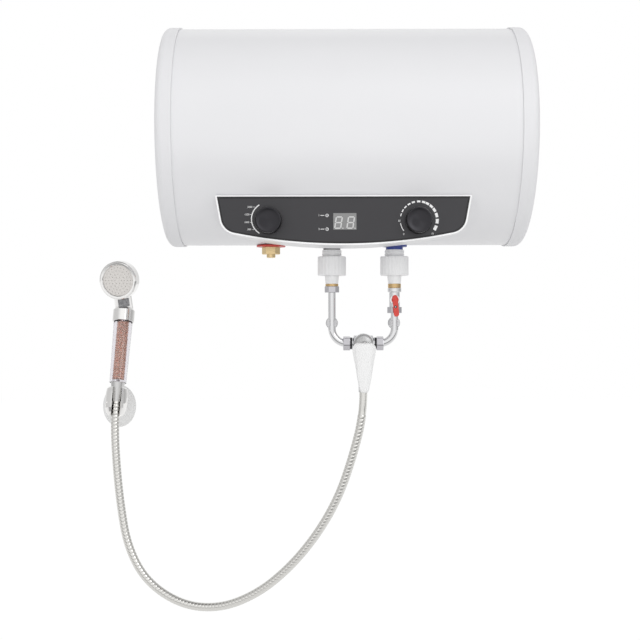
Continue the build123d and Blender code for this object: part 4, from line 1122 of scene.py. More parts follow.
    def add_floor(self) -> None:
        """Pale floor that keeps the object's shadow and otherwise shows white."""
        start_clean()
        bpy.ops.mesh.primitive_plane_add(
            size=self.floor_side, location=(0, 0, self.floor_height)
        )
        floor = bpy.context.object
        floor.name = "floor"
        bpy.ops.object.transform_apply(location=True)
        material = bpy.data.materials.new("pale_floor")
        material.use_nodes = True
        wiring = Wiring(material.node_tree)
        output = wiring.node("ShaderNodeOutputMaterial")
        matt = wiring.node("ShaderNodeBsdfDiffuse")
        matt.inputs["Color"].default_value = (*[self.floor_grey] * 3, 1.0)
        place = wiring.node("ShaderNodeSeparateXYZ")
        wiring.join(wiring.node("ShaderNodeTexCoord").outputs["Object"], place.inputs["Vector"])
        start, end = self.floor_span
        behind = wiring.math("SUBTRACT", place.outputs["Y"], start)
        across = wiring.math("DIVIDE", behind, end - start)
        strip = wiring.node("ShaderNodeEmission")
        wiring.join(self.bands(wiring, across, self.floor_levels), strip.inputs["Color"])
        glow = wiring.node("ShaderNodeEmission")
        glow.inputs["Strength"].default_value = self.floor_glow
        rays = wiring.node("ShaderNodeLightPath").outputs
        white = wiring.mix(
            rays["Is Glossy Ray"], glow.outputs["Emission"], strip.outputs["Emission"]
        )
        both = wiring.math("MAXIMUM", rays["Is Camera Ray"], rays["Is Transmission Ray"])
        any_ray = wiring.math("MAXIMUM", both, rays["Is Glossy Ray"])
        seen = wiring.math("MULTIPLY", any_ray, self.floor_shown)
        wiring.join(wiring.mix(seen, matt.outputs["BSDF"], white), output.inputs["Surface"])
        floor.data.materials.append(material)

    def add_lamp(
        self, name: str, place: Place, size: float, power: float, mirrored: bool
    ) -> None:
        """Adds one soft square lamp that looks at the heater.

        Args:
            name: The lamp's name.
            place: Where it stands, in metres.
            size: Its side in metres.
            power: Its power in watts.
            mirrored: Whether bright metal shows it.
        """
        data = bpy.data.lights.new(name, "AREA")
        data.size = size
        data.energy = power
        lamp = bpy.data.objects.new(name, data)
        lamp.location = place
        lamp.visible_glossy = mirrored
        aim = Vector(self.lamp_aim) - Vector(place)
        lamp.rotation_euler = aim.to_track_quat("-Z", "Y").to_euler()
        bpy.context.collection.objects.link(lamp)


@dataclass
class Hose:
    """The ribbed steel hose from the mixer to the hand shower.

    Attributes:
        route: Control points from the tank's axis, in millimetres, from the mixer's end.
        radius: Radius over the ribs.
        valley: Radius between them.
        pitch: Distance from rib to rib.
        rib: Places along a rib and how high it is at each, as shares.
        sleeve: Least length of the plain sleeve at the mixer's end.
        sleeve_radius: Radius of that sleeve.
        sleeve_rings: Places along it that get a ring of vertices, as shares.
        plain_end: Length without ribs at the hand shower's end.
        sides: Vertices round the hose.
        reach: Points each side that the hose's direction is taken over.
        smooth: Angle in degrees under which its faces shade smoothly.
        length: The hose's real length in metres; not used.
        blend_start: Where it stops following the heater; not used.
        blend_end: Where it follows the hand shower alone; not used.
    """

    route: tuple[Place, ...] = (
        (29.2, 0, -405),
        (29.2, 0, -441),
        (11.9, 4, -509.8),
        (-11.1, 9, -576.4),
        (-46, 16, -637.3),
        (-89.6, 25, -690.9),
        (-140.8, 36, -734.9),
        (-202.5, 49, -762.8),
        (-268.4, 63, -761.6),
        (-329.9, 75, -725.3),
        (-362.7, 84, -668.3),
        (-376, 92, -597.7),
        (-383.7, 97, -529),
        (-388.2, 105.6, -462.1),
        (-386.6, 114, -428.2),
    )
    radius: float = 6.9
    valley: float = 6.5
    pitch: float = 6.0
    rib: Pairs = (
        (0.0, 0.0), (0.05, 0.7), (0.14, 0.96), (0.45, 1.0), (0.78, 0.96), (0.88, 0.7),
        (0.93, 0.0),
    )
    sleeve: float = 34.0
    sleeve_radius: float = 6.3
    sleeve_rings: tuple[float, ...] = (0.0, 0.25, 0.5, 0.75, 0.97)
    plain_end: float = 4.0
    sides: int = 22
    reach: int = 2
    smooth: float = 50.0
    length: float = 0.90
    blend_start: Place = (-90.0, 60.0, -760.0)
    blend_end: Place = (-380.0, 60.0, -760.0)

    def line(self) -> list[Vector]:
        """Draws the route as a smooth line.

        Returns:
            Points along it, close together, in metres.
        """
        data = bpy.data.curves.new("hose_route", "CURVE")
        data.dimensions = "3D"
        spline = data.splines.new("NURBS")
        spline.points.add(len(self.route) - 1)
        for point, place in zip(spline.points, self.route):
            point.co = (*spot(*place), 1.0)
        spline.order_u = 3
        spline.use_endpoint_u = True
        spline.resolution_u = 32
        holder = bpy.data.objects.new("hose_route", data)
        bpy.context.collection.objects.link(holder)
        bpy.context.view_layer.update()
        mesh = bpy.data.meshes.new_from_object(holder)
        points = [vertex.co.copy() for vertex in mesh.vertices]
        bpy.data.objects.remove(holder)
        bpy.data.curves.remove(data)
        bpy.data.meshes.remove(mesh)
        return points

    def stations(self, total: float) -> Points:
        """Sets out the plain sleeve, the ribs and the plain end.

        Args:
            total: The hose's length in millimetres.

        Returns:
            Distances along the hose and the radius at each, in millimetres.
        """
        count = int((total - self.sleeve - self.plain_end) // self.pitch)
        margin = total - self.plain_end - count * self.pitch
        marks = [(margin * share, self.sleeve_radius) for share in self.sleeve_rings]
        for index in range(count):
            for share, rise in self.rib:
                height = self.valley + rise * (self.radius - self.valley)
                marks.append((margin + (index + share) * self.pitch, height))
        return [*marks, (total - self.plain_end * 0.5, self.valley), (total, self.valley)]

    def build(self) -> Piece:
        """Returns:
            The hose.
        """
        points = self.line()
        gone = [0.0]
        for before, after in zip(points, points[1:]):
            gone.append(gone[-1] + (after - before).length)
        centres: list[Vector] = []
        vertices: list[Vector] = []
        cursor = 0
        side_hint = Vector((0, 1, 0))
        for distance, radius in self.stations(gone[-1] / MM):
            travelled = min(distance * MM, gone[-1])
            while cursor < len(points) - 2 and gone[cursor + 1] < travelled:
                cursor += 1
            span = points[cursor + 1] - points[cursor]
            share = (travelled - gone[cursor]) / (gone[cursor + 1] - gone[cursor])
            centre = points[cursor] + span * share
            before = points[max(cursor - self.reach, 0)]
            after = points[min(cursor + 1 + self.reach, len(points) - 1)]
            heading = (after - before).normalized()
            across = (side_hint - heading * side_hint.dot(heading)).normalized()
            other = heading.cross(across)
            centres.append(centre)
            for step in range(self.sides):
                turn = 2 * math.pi * step / self.sides
                offset = across * math.cos(turn) + other * math.sin(turn)
                vertices.append(centre + offset * radius * MM)
        faces: list[Sequence[int]] = []
        for ring in range(len(centres) - 1):
            for step in range(self.sides):
                low = ring * self.sides
                high = low + self.sides
                after = (step + 1) % self.sides
                faces.append((low + step, low + after, high + after, high + step))
        faces.append(tuple(reversed(range(self.sides))))
        last = (len(centres) - 1) * self.sides
        faces.append(tuple(range(last, last + self.sides)))
        mesh = bpy.data.meshes.new("ribbed_hose")
        mesh.from_pydata(vertices, [], faces)
        hose = bpy.data.objects.new("ribbed_hose", mesh)
        bpy.context.collection.objects.link(hose)
        edit_all(hose)
        bpy.ops.mesh.normals_make_consistent(inside=False)
        bpy.ops.object.mode_set(mode="OBJECT")
        bpy.ops.object.shade_smooth_by_angle(angle=math.radians(self.smooth))
        mesh.materials.append(HOSE_STEEL.build())
        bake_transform(hose)
        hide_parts("shower_hose")
        LOG.info("hose of %.3f m with %d rings", gone[-1], len(centres))
        return hose


@dataclass
class ControlPanel:
    """Print, display, lamps and knobs on the fascia.

    Attributes:
        nodes: The frame's nodes.
        front: Distance of the fascia's face in front of the tank's axis, in millimetres.
        knob_height: Height of the knobs' axes.
        power_x: Place of the power knob.
        temperature_x: Place of the temperature knob.
        print_rise: Height of the print.
        type_size: Height of the printed numbers.
        small_type: Height of the power scale's numbers.
        knob_radius: Radius of a knob at its foot.
        face_radius: Radius of its face.
        knob_depth: How far it stands out.
        knob_gap: Gap between it and the fascia.
        knob_bore: Radius and depth of its hollow back.
        knob_skirt: Height of its straight skirt.
        knob_rim: How far each point of its rim lies outside the face and below the front.
        knob_dish: Share of the face's radius at the dish's slope, its depth there and its
            depth in the middle.
        knob_sides: Number of sides of a turned knob.
        middle_x: Place of the panel's middle.
        top: Height of the fascia's top edge.
        side_normal: Direction that the right edge faces, in degrees.
        side_foot: Lower end of the right edge, from the middle.
        corner: Middle of the lower right corner's rounding, from the middle, and its radius.
        low_arc: Height of the bottom arc's middle and its radius.
        top_grow: Most that the top edge grows, because its rim is narrower.
        edge_steps: Points on a corner's rounding and on half the bottom arc.
        rim: How far the rim's outer and inner edge grow, its thickness and its foot's height.
        edge_shade: How far the edges of the dark line of painted shade inside the fascia's edge
            shrink, and its height.
        power_arc: Inner and outer radius, start and sweep of the power scale's arc, in degrees.
        power_offset: Place of that arc's centre from the knob's axis.
        power_marks: Number, height, middle and end of the tick of each of its marks.
        power_tick: Where a tick starts from its number's middle, and its width.
        temperature_bars: Angles of the temperature scale's bars.
        bar_growth: Radius of the bars' middle, and first and added width and angle.
        temperature_arc: The thin arc that the bars start from.
        temperature_offset: Place of the bars' centre from the knob's axis.
        temperature_marks: Number and place of its end marks.
        window: Middle of the display window, and its height over the fascia.
        segment: Half length and half width of a digit's segment, and the length of its points.
        digit: Half width and half height of a digit, and how far it leans.
        digit_places: Places of the two digits.
        digit_rise: Height of the digits over the window.
        point: Place of a digit's point from its middle, and its radius.
        lamp_x: Place of the lamps.
        lamp_ring: Inner and outer radius of their rings.
        lamp_marks: Number and height of each lamp.
        lamp_line: Place of a lamp's number, and start, end and width of the line beside it.
    """

    nodes: Nodes
    front: float = 137.0
    knob_height: float = -143.2
    power_x: float = -115.6
    temperature_x: float = 106.0
    print_rise: float = 0.15
    type_size: float = 3.8
    small_type: float = 3.7
    knob_radius: float = 19.8
    face_radius: float = 18.4
    knob_depth: float = 17.0
    knob_gap: float = 0.6
    knob_bore: tuple[float, float] = (7.9, 5.2)
    knob_skirt: float = 2.6
    knob_rim: Pairs = ((0.7, 1.6), (0.1, 0.4), (-0.7, 0.0), (-1.6, 0.1), (-2.2, 0.5))
    knob_dish: tuple[float, float, float] = (0.5, 1.0, 1.5)
    knob_sides: int = 96
    middle_x: float = -4.8
    top: float = -107.6
    side_normal: float = -10.27
    side_foot: tuple[float, float] = (178.0, -157.3)
    corner: Place = (157.26, -137.16, 24.0)
    low_arc: tuple[float, float] = (645.4, 822.2)
    top_grow: float = 1.5
    edge_steps: tuple[int, int] = (12, 30)
    rim: tuple[float, float, float, float] = (2.5, 0.35, 0.5, 0.9)
    edge_shade: tuple[float, float, float] = (-0.5, -2.6, 0.05)
    power_arc: tuple[float, float, float, float] = (23.9, 25.4, 121.8, 116.4)
    power_offset: tuple[float, float] = (-0.6, 2.6)
    power_marks: tuple[tuple[str, float, float, float], ...] = (
        ("2000", 20.4, -27.6, -20.6),
        ("1500", 9.2, -32.0, -24.6),
        ("1000", -2.2, -32.2, -25.4),
        ("500", -12.8, -28.6, -22.2),
    )
    power_tick: tuple[float, float] = (5.0, 0.7)
    temperature_bars: tuple[float, ...] = (
        164, 150, 136, 121.5, 107, 90, 74.5, 62, 47.3, 32.3, 14.9, -4.1, -25.7,
    )
    bar_growth: tuple[float, float, float, float, float] = (27.3, 1.4, 3.2, 9.4, 5.6)
    temperature_arc: tuple[float, float, float, float] = (26.8, 27.9, 190.0, 26.0)
    temperature_offset: tuple[float, float] = (0.2, 1.0)
    temperature_marks: tuple[tuple[str, float, float], ...] = (
        ("30", -28.6, -0.4), ("0", -22.0, -20.1), ("75", 20.6, -19.5),
    )
    window: Place = (-3.3, -146.0, 0.3)
    segment: tuple[float, float, float] = (4.0, 0.95, 0.9)
    digit: tuple[float, float, float] = (4.4, 8.3, 0.15)
    digit_places: tuple[float, float] = (-9.0, 9.0)
    digit_rise: float = 0.12
    point: tuple[float, float, float] = (6.4, -8.4, 0.9)
    lamp_x: float = -29.2
    lamp_ring: tuple[float, float] = (1.75, 2.4)
    lamp_marks: tuple[tuple[str, float], ...] = (("1", -135.4), ("2", -155.6))
    lamp_line: tuple[float, float, float, float] = (-41.2, -38.9, -33.2, 0.8)

    def build(self) -> None:
        """Makes everything on the fascia."""
        dress(self.nodes, {
            "panel_housing": HOUSING_WHITE,
            "fascia": FASCIA_GREY,
            "display_window": WINDOW_GREY,
            "indicator_lenses": LENS,
            "display_board": BOARD_GREEN,
            "power_switch": CONTROL_BLACK,
            "thermostat_body": CONTROL_BLACK,
            "power_shaft": ZINC,
            "thermostat_shaft": ZINC,
        })
        self.rim_and_edge_shade()
        self.power_scale()
        self.temperature_scale()
        self.display()
        self.lamp_rings()
        self.knob("power_knob", self.power_x, Body.POWER)
        self.knob("temperature_knob", self.temperature_x, Body.TEMPERATURE)

    def outline(self, grow: float) -> Points:
        """Points round the fascia's edge.

        Args:
            grow: How far it is grown outwards, in millimetres.

        Returns:
            The points, from the panel's middle.
        """
        lean = math.radians(self.side_normal)
        foot_x, foot_z = self.side_foot
        top = self.top + min(grow, self.top_grow)
        run = (top - foot_z - grow * math.sin(lean)) / math.cos(lean)
        half = foot_x + grow * math.cos(lean) - run * math.sin(lean)
        corner_x, corner_z, corner_radius = self.corner
        arc_z, arc_radius = self.low_arc
        corner_steps, arc_steps = self.edge_steps
        turn_end = math.atan2(corner_z - arc_z, corner_x)
        right = [(half, top)]
        for step in range(corner_steps + 1):
            turn = lean + (turn_end - lean) * step / corner_steps
            reach = corner_radius + grow
            right.append((corner_x + reach * math.cos(turn), corner_z + reach * math.sin(turn)))
        for step in range(1, arc_steps):
            turn = turn_end + (-math.pi / 2 - turn_end) * step / arc_steps
            reach = arc_radius + grow
            right.append((reach * math.cos(turn), arc_z + reach * math.sin(turn)))
        left = [(-x, z) for x, z in reversed(right)]
        return [*right, (0.0, arc_z - arc_radius - grow), *left]

    def rim_and_edge_shade(self) -> None:
        """White rim round the fascia, whiter than the housing as a painted highlight, and a dark
        line of painted shade inside its edge.
        """
        # The housing's real front rim, overlaid whiter than the housing: painted highlight.
        outer, inner, thickness, foot = self.rim
        rim = band("panel_rim_highlight", self.outline(outer), self.outline(inner), thickness)
        softened(rim, width=0.15, segments=1)
        seat = self.seat(self.middle_x, 0)
        set_down(rim, seat.raised(foot), RIM_HIGHLIGHT_WHITE, Body.HEATER)
        # Dark line inside the fascia's edge: painted shade of the recessed edge.
        outer, inner, thickness = self.edge_shade
        edge_shade = band("fascia_edge_shade", self.outline(outer), self.outline(inner), thickness)
        set_down(edge_shade, seat, FASCIA_EDGE_SHADE, Body.HEATER)

    def seat(self, x: float, z: float) -> Seat:
        """Seat on the fascia's face."""
        return facing(x, z, self.front)

    def marking(self, number: str, x: float, y: float, size: float | None = None) -> Piece:
        """Plain number printed on the fascia.

        Args:
            number: The digits.
            x: Place of its middle.
            y: Height of its middle.
            size: Height of its type, where it isn't the usual one.

        Returns:
            The printed number.
        """
        plate = number_plate("number", number, size or self.type_size, self.print_rise)
        plate.data.transform(Matrix.Translation((x, y, self.print_rise / 2)))
        return plate

    def line(self, left: float, right: float, y: float, width: float) -> Piece:
        """Level printed line.

        Args:
            left: Place of its left end.
            right: Place of its right end.
            y: Height of its middle.
            width: Its width.

        Returns:
            The printed line.
        """
        low, high = y - width / 2, y + width / 2
        corners = ((left, low), (right, low), (right, high), (left, high))
        return slab("line", corners, self.print_rise)

    def printed(self, name: str, parts: Sequence[Piece], x: float, z: float) -> None:
        """Joins printed parts and sets them down at a place on the fascia."""
        set_down(joined(name, parts), self.seat(x, z), PRINT_WHITE, Body.HEATER)

    def power_scale(self) -> None:
        """Thin arc with four ticks and plain numbers left of the power knob."""
        arc = arc_bar("arc", *self.power_arc, self.print_rise)
        arc.data.transform(Matrix.Translation((*self.power_offset, 0)))
        parts = [arc]
        tick_start, width = self.power_tick
        for number, height, middle, tick_end in self.power_marks:
            parts.append(self.marking(number, middle, height, self.small_type))
            parts.append(self.line(middle + tick_start, tick_end, height, width))
        self.printed("power_scale", parts, self.power_x, self.knob_height)

    def temperature_scale(self) -> None:
        """Bars that widen clockwise round the temperature knob, with its end marks."""
        parts = [arc_bar("arc", *self.temperature_arc, self.print_rise)]
        middle, first_width, more_width, first_span, more_span = self.bar_growth
        for index, angle in enumerate(self.temperature_bars):
            share = index / (len(self.temperature_bars) - 1)
            half = (first_width + more_width * share) / 2
            span = first_span + more_span * share ** 2
            start = angle - span / 2
            parts.append(
                arc_bar("bar", middle - half, middle + half, start, span, self.print_rise)
            )
        for part in parts:
            part.data.transform(Matrix.Translation((*self.temperature_offset, 0)))
        parts += [self.marking(*mark) for mark in self.temperature_marks]
        self.printed("temperature_scale", parts, self.temperature_x, self.knob_height)

    def display(self) -> None:
        """Two leaning seven-segment digits, each with its point, on the display window."""
        x, z, rise = self.window
        half, side, nose = self.segment
        bar = (
            (-half, 0), (-half + nose, side), (half - nose, side), (half, 0),
            (half - nose, -side), (-half + nose, -side),
        )
        thickness = self.digit_rise
        segment = slab("segment", bar, thickness)
        point_x, point_y, radius = self.point
        section = ((0, 0), (radius, 0), (radius, thickness), (0, thickness))
        point = lathe("point", section, steps=20)
        wide, high, slant = self.digit
        upright_turn = Matrix.Rotation(math.pi / 2, 4, "Z")
        lean = Matrix.Identity(4)
        lean[0][1] = slant
        parts = []
        for digit_x in self.digit_places:
            places = [
                Matrix.Translation((digit_x, height, 0)) for height in (-high, 0.0, high)
            ] + [
                Matrix.Translation((digit_x + side_x, height, 0)) @ upright_turn
                for side_x in (-wide, wide)
                for height in (-high / 2, high / 2)
            ]
            parts += [copied(segment, lean @ place) for place in places]
            parts.append(copied(point, Matrix.Translation((digit_x + point_x, point_y, 0))))
        bpy.data.objects.remove(segment)
        bpy.data.objects.remove(point)
        seat = self.seat(x, z).raised(rise)
        set_down(joined("display_digits", parts), seat, SEGMENT_PALE, Body.HEATER)

    def lamp_rings(self) -> None:
        """Thin pale ring round each lamp, with a plain number and a line beside it."""
        inner, outer = self.lamp_ring
        number_x, line_start, line_end, width = self.lamp_line
        section = ((inner, 0), (outer, 0), (outer, self.print_rise), (inner, self.print_rise))
        parts = []
        for number, height in self.lamp_marks:
            ring = lathe("ring", section, steps=40)
            ring.data.transform(Matrix.Translation((self.lamp_x, height, 0)))
            line = self.line(line_start, line_end, height, width)
            parts += [ring, self.marking(number, number_x, height), line]
        self.printed("lamp_rings", parts, 0, 0)

    def knob(self, node: str, x: float, body: Body) -> None:
        """Turned knob with a hollow back, a rounded rim and a shallow dished face.

        Args:
            node: The CAD node that it stands for.
            x: Place of its axis.
            body: The body it rides on.
        """
        bore, bore_depth = self.knob_bore
        foot, face = self.knob_radius, self.face_radius
        low, depth = self.knob_gap, self.knob_depth
        share, slope_depth, middle_depth = self.knob_dish
        outline = (
            (0, bore_depth),
            (bore, bore_depth),
            (bore, low),
            (foot, low),
            (foot, low + self.knob_skirt),
            *((face + outside, depth - below) for outside, below in self.knob_rim),
            (face * share, depth - slope_depth),
            (0, depth - middle_depth),
        )
        knob = lathe(f"{node}_turned", outline, self.knob_sides)
        softened(knob, width=0.35, angle=40.0)
        set_down(knob, self.seat(x, self.knob_height), KNOB_BLACK, body)
        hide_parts(node)


@dataclass
class Heater:
    """Jacket, caps, hangers and everything inside the tank.

    Attributes:
        nodes: The frame's nodes.
    """

    nodes: Nodes

    def build(self) -> None:
        """Dresses the heater's own parts."""
        dress(self.nodes, {
            "shell": ENAMEL,
            "left_cap": CAP_MOULDING,
            "right_cap": CAP_MOULDING,
            "foam_jacket": FOAM,
            "inner_tank": TANK_ENAMEL,
            "hanger_brackets": ZINC,
            "wall_spacers": RUBBER,
            "anode_rod": MAGNESIUM,
            "heating_element": COPPER,
            "flange_gasket": RUBBER,
            "heater_flange": ZINC,
            "flange_bolts": ZINC,
            "thermostat_bulb": COPPER,
            "thermal_cutout": CONTROL_BLACK,
            "outlet_tube": ZINC,
            "inlet_tube": ZINC,
            "wiring_loom": RUBBER,
            "cable_gland": CONTROL_BLACK,
        })


@dataclass
class Connections:
    """Rings, plug, unions, pipes and valve under the tank.

    Attributes:
        nodes: The frame's nodes.
        union_places: Places of the two unions.
        union_span: Lower and upper end of a union nut.
        union_radius: Radius over its ribs.
        union_bore: Its inner radius.
        lip_bore: Inner radius of its lower lip.
        lip_height: Height of that lip.
        lip_overlap: How far the lip reaches into the nut.
        union_sides: Number of points round it.
        flutes: Number of its flutes.
        flute_depth: How deep they are.
        nut_radius: Half the width across a pipe nut's corners.
        nut_corner: Radius that its corners are turned down to.
        nut_bore: Radius of its bore.
        nut_sides: Number of points round it.
        standing_nuts: Place and height of each nut on an upright pipe.
        standing_height: Their height.
        lying_nuts: Place and height of each nut beside the mixer.
        lying_width: Their width along the mixer's axis.
        nut_turn: Height of the mixer nuts' front corner, in degrees.
        screw_place: Place of the lever's screw, and how far in front of the pipes it is.
        cup_section: Radius and height of each point of the cup round the screw.
        screw_section: Radius and height of each point of the screw.
    """

    nodes: Nodes
    union_places: tuple[float, float] = (-20.8, 79.2)
    union_span: tuple[float, float] = (-218.9, -188.4)
    union_radius: float = 22.6
    union_bore: float = 13.3
    lip_bore: float = 11.5
    lip_height: float = 4.0
    lip_overlap: float = 0.3
    union_sides: int = 132
    flutes: int = 22
    flute_depth: float = 0.7
    nut_radius: float = 12.0
    nut_corner: float = 11.5
    nut_bore: float = 7.6
    nut_sides: int = 96
    standing_nuts: Pairs = ((-20.8, -246.0), (79.2, -279.0))
    standing_height: float = 10.0
    lying_nuts: Pairs = ((-2.9, -327.1), (50.3, -327.1))
    lying_width: float = 11.0
    nut_turn: float = 13.5
    screw_place: Place = (79.4, -269.2, 22.0)
    cup_section: Pairs = (
        (0, -0.6), (2.1, -0.6), (2.1, 0.35), (1.2, 0.35), (1.0, 0.1), (0, 0.1),
    )
    screw_section: Pairs = ((0, 0), (0.85, 0), (0.85, 0.4), (0.6, 0.6), (0, 0.6))

    def build(self) -> None:
        """Dresses the water connections."""
        dress(self.nodes, {
            "drain_ring": RED_RING,
            "drain_plug": BRASS,
            "hot_ring": BLACK_RING,
            "cold_ring": BLUE_RING,
            "union_necks": UNION_WHITE,
            "union_tails": UNION_WHITE,
            "brass_nipples": NIPPLE_BRASS,
            "hot_pipe": CHROME,
            "cold_pipe": CHROME,
            "pipe_clips": CLIP_GREY,
            "valve_body": CHROME,
            "valve_ball": CHROME,
            "valve_lever": VALVE_RED,
        })
        self.union_nuts()
        self.pipe_nuts()
        self.lever_screw()

    def union_nuts(self) -> None:
        """Two fluted nuts with rounded rims, each with the inner lip that holds its tail."""
        low, high = self.union_span
        fluted = round_points(
            self.union_radius, self.union_sides, self.flute_depth, self.flutes
        )
        bore = round_points(self.union_bore, self.union_sides)
        inner, outer = self.lip_bore, self.union_bore + self.lip_overlap
        section = ((inner, 0), (outer, 0), (outer, self.lip_height), (inner, self.lip_height))
        parts = []
        for x in self.union_places:
            nut = band("nut", fluted, bore, high - low)
            softened(nut, width=1.5, segments=3, angle=60.0)
            lip = lathe("lip", section)
            for part in (nut, lip):
                part.data.transform(Matrix.Translation((x, 0, low)))
            parts += [nut, lip]
        nuts = joined("fluted_union_nuts", parts)
        seat = upright(0, 0, 0)
        set_down(nuts, seat, UNION_WHITE, Body.HEATER, smooth=50.0)
        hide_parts("union_nuts")

    def pipe_nuts(self) -> None:
        """Four six-sided nuts with worn corners, each bored for its pipe."""
        parts = []
        upwards = Vector((0, 0, 1))
        right = Vector((1, 0, 0))
        forward = Vector((0, -1, 0))
        bore = round_points(self.nut_bore, self.nut_sides)
        rows = [
            (Seat(spot(x, 0, z), upwards, right), self.standing_height, 0.0)
            for x, z in self.standing_nuts
        ] + [
            (Seat(spot(x, 0, z), right, forward), self.lying_width, self.nut_turn)
            for x, z in self.lying_nuts
        ]
        for seat, thickness, turn in rows:
            edge = six_sided(self.nut_radius, self.nut_corner, self.nut_sides, turn)
            nut = band("nut", edge, bore, thickness)
            softened(nut, width=0.7, angle=60.0)
            nut.data.transform(seat.matrix())
            parts.append(nut)
        nuts = joined("turned_pipe_nuts", parts)
        nuts.data.transform(Matrix.Scale(1 / MM, 4))
        whole = Seat(Vector((0, 0, 0)), upwards, right)
        set_down(nuts, whole, NUT_CHROME, Body.HEATER, smooth=12.0)
        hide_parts("pipe_nuts")

    def lever_screw(self) -> None:
        """Dark cup with a bright screw in the middle of the valve's lever."""
        seat = facing(*self.screw_place)
        cup = lathe("lever_cup", self.cup_section, steps=40)
        set_down(cup, seat, GLOSS_BLACK, Body.VALVE)
        screw = lathe("lever_screw", self.screw_section, steps=32)
        set_down(screw, seat, CHROME, Body.VALVE)


@dataclass
class Mixer:
    """Mixer body, bonnet, lever and hose nut.

    Attributes:
        nodes: The frame's nodes.
        axis_x: Place of the mixer's middle.
        axis_z: Height of its middle.
        half_widths: Heights on the lever from the mixer's axis, with half its width at each.
        crest_widths: Heights on the line where the face meets its sloped rim, with half widths.
        tip: Height of the lever's tip.
        back: Distance of the lever's back from the pipes' plane.
        edge: Height of its rounded edge over its back.
        crest: Height of its face over its back.
        tip_thickness: Thickness at the tip.
        back_start: Depth under the axis from which the back slopes.
        middle: Height that the crown's loops shrink towards.
        crown: Share of the width, share of the length and rise of each loop of the crown.
        back_share: Share of the width that the back has.
        back_round: Height of the rounding between the back and the sides.
        tip_slope: How far the sloped rim reaches back from the tip.
        curve_steps: Points on each span of the sides, and on half the rounded tip.
        seal_radii: Inner and outer radius of the seals.
        seal_ends: Start and end of each seal along the mixer's axis.
    """

    nodes: Nodes
    axis_x: float = 29.2
    axis_z: float = -327.1
    half_widths: Pairs = (
        (1.4, 11.0), (-1.0, 15.0), (-8.0, 18.4), (-26.0, 15.6), (-38.0, 13.4), (-50.0, 11.6),
        (-69.3, 7.7),
    )
    crest_widths: Pairs = (
        (0.4, 7.6), (-1.6, 10.4), (-8.0, 13.0), (-26.0, 11.4), (-38.0, 10.9), (-50.0, 10.1),
        (-69.0, 6.7),
    )
    tip: float = -77.0
    back: float = 31.0
    edge: float = 11.4
    crest: float = 15.0
    tip_thickness: float = 6.0
    back_start: float = 9.0
    middle: float = -34.0
    crown: tuple[tuple[float, float, float], ...] = (
        (0.7, 0.97, 0.75), (0.4, 0.92, 1.15), (0.12, 0.85, 1.3),
    )
    back_share: float = 0.96
    back_round: float = 0.8
    tip_slope: float = 1.2
    curve_steps: tuple[int, int] = (7, 8)
    seal_radii: tuple[float, float] = (9.1, 9.5)
    seal_ends: Pairs = ((-21.0, -17.8), (17.8, 21.0))

    def blade(self, halves: Pairs, tip: float) -> Points:
        """Points round the lever.

        Args:
            halves: Heights, with half the width at each.
            tip: Height of the tip.

        Returns:
            The points, from the mixer's axis.
        """
        side_steps, tip_steps = self.curve_steps
        right = smooth_through([(half, z) for z, half in halves], side_steps)
        foot_half, foot_z = right[-1]
        for step in range(1, tip_steps):
            turn = math.pi / 2 * step / tip_steps
            drop = (foot_z - tip) * math.sin(turn)
            right.append((foot_half * math.cos(turn), foot_z - drop))
        left = [(-x, z) for x, z in reversed(right)]
        return [*right, (0.0, tip), *left]

    def lever(self) -> None:
        """Crowned lever with sloped rims and a back that rises towards the tip."""
        outer = self.blade(self.half_widths, self.tip)
        crest = self.blade(self.crest_widths, self.tip + self.tip_slope)
        slope = (self.crest - self.tip_thickness) / (-self.tip - self.back_start)
        rises = [max(0.0, slope * (-y - self.back_start)) for _, y in outer]
        loops = [
            [(x * self.back_share, y, rise) for (x, y), rise in zip(outer, rises)],
            [(x, y, rise + self.back_round) for (x, y), rise in zip(outer, rises)],
            [(x, y, self.edge) for x, y in outer],
            [(x, y, self.crest) for x, y in crest],
        ]
        for narrow, short, rise in self.crown:
            loops.append([
                (x * narrow, self.middle + (y - self.middle) * short, self.crest + rise)
                for x, y in crest
            ])
        lever = layered("lever_blade", loops)
        seat = facing(self.axis_x, self.axis_z, self.back)
        set_down(lever, seat, HANDLE_WHITE, Body.HANDLE, smooth=22.0)
        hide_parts("mixer_lever")

    def seals(self) -> None:
        """Black seals between the mixer and the nuts beside it; their black is partly painted
        shade, standing in for the shadowed gaps there.
        """
        inner, outer = self.seal_radii
        parts = []
        for start, end in self.seal_ends:
            section = ((inner, start), (outer, start), (outer, end), (inner, end))
            parts.append(lathe("seal", section, steps=56))
        # Black rings: real seals, and partly painted shade for the dark gaps beside the nuts.
        seals = joined("mixer_seals_and_gap_shade", parts)
        seat = Seat(spot(self.axis_x, 0, self.axis_z), Vector((1, 0, 0)), Vector((0, 1, 0)))
        set_down(seals, seat, GLOSS_BLACK, Body.HEATER)

    def build(self) -> None:
        """Dresses the mixer and makes its lever and seals."""
        dress(self.nodes, {
            "mixer_body": CHROME,
            "mixer_cartridge": CERAMIC,
            "mixer_bonnet": SATIN_CHROME,
            "mixer_spindle": SATIN_CHROME,
            "hose_nut": CHROME,
        })
        self.lever()
        self.seals()


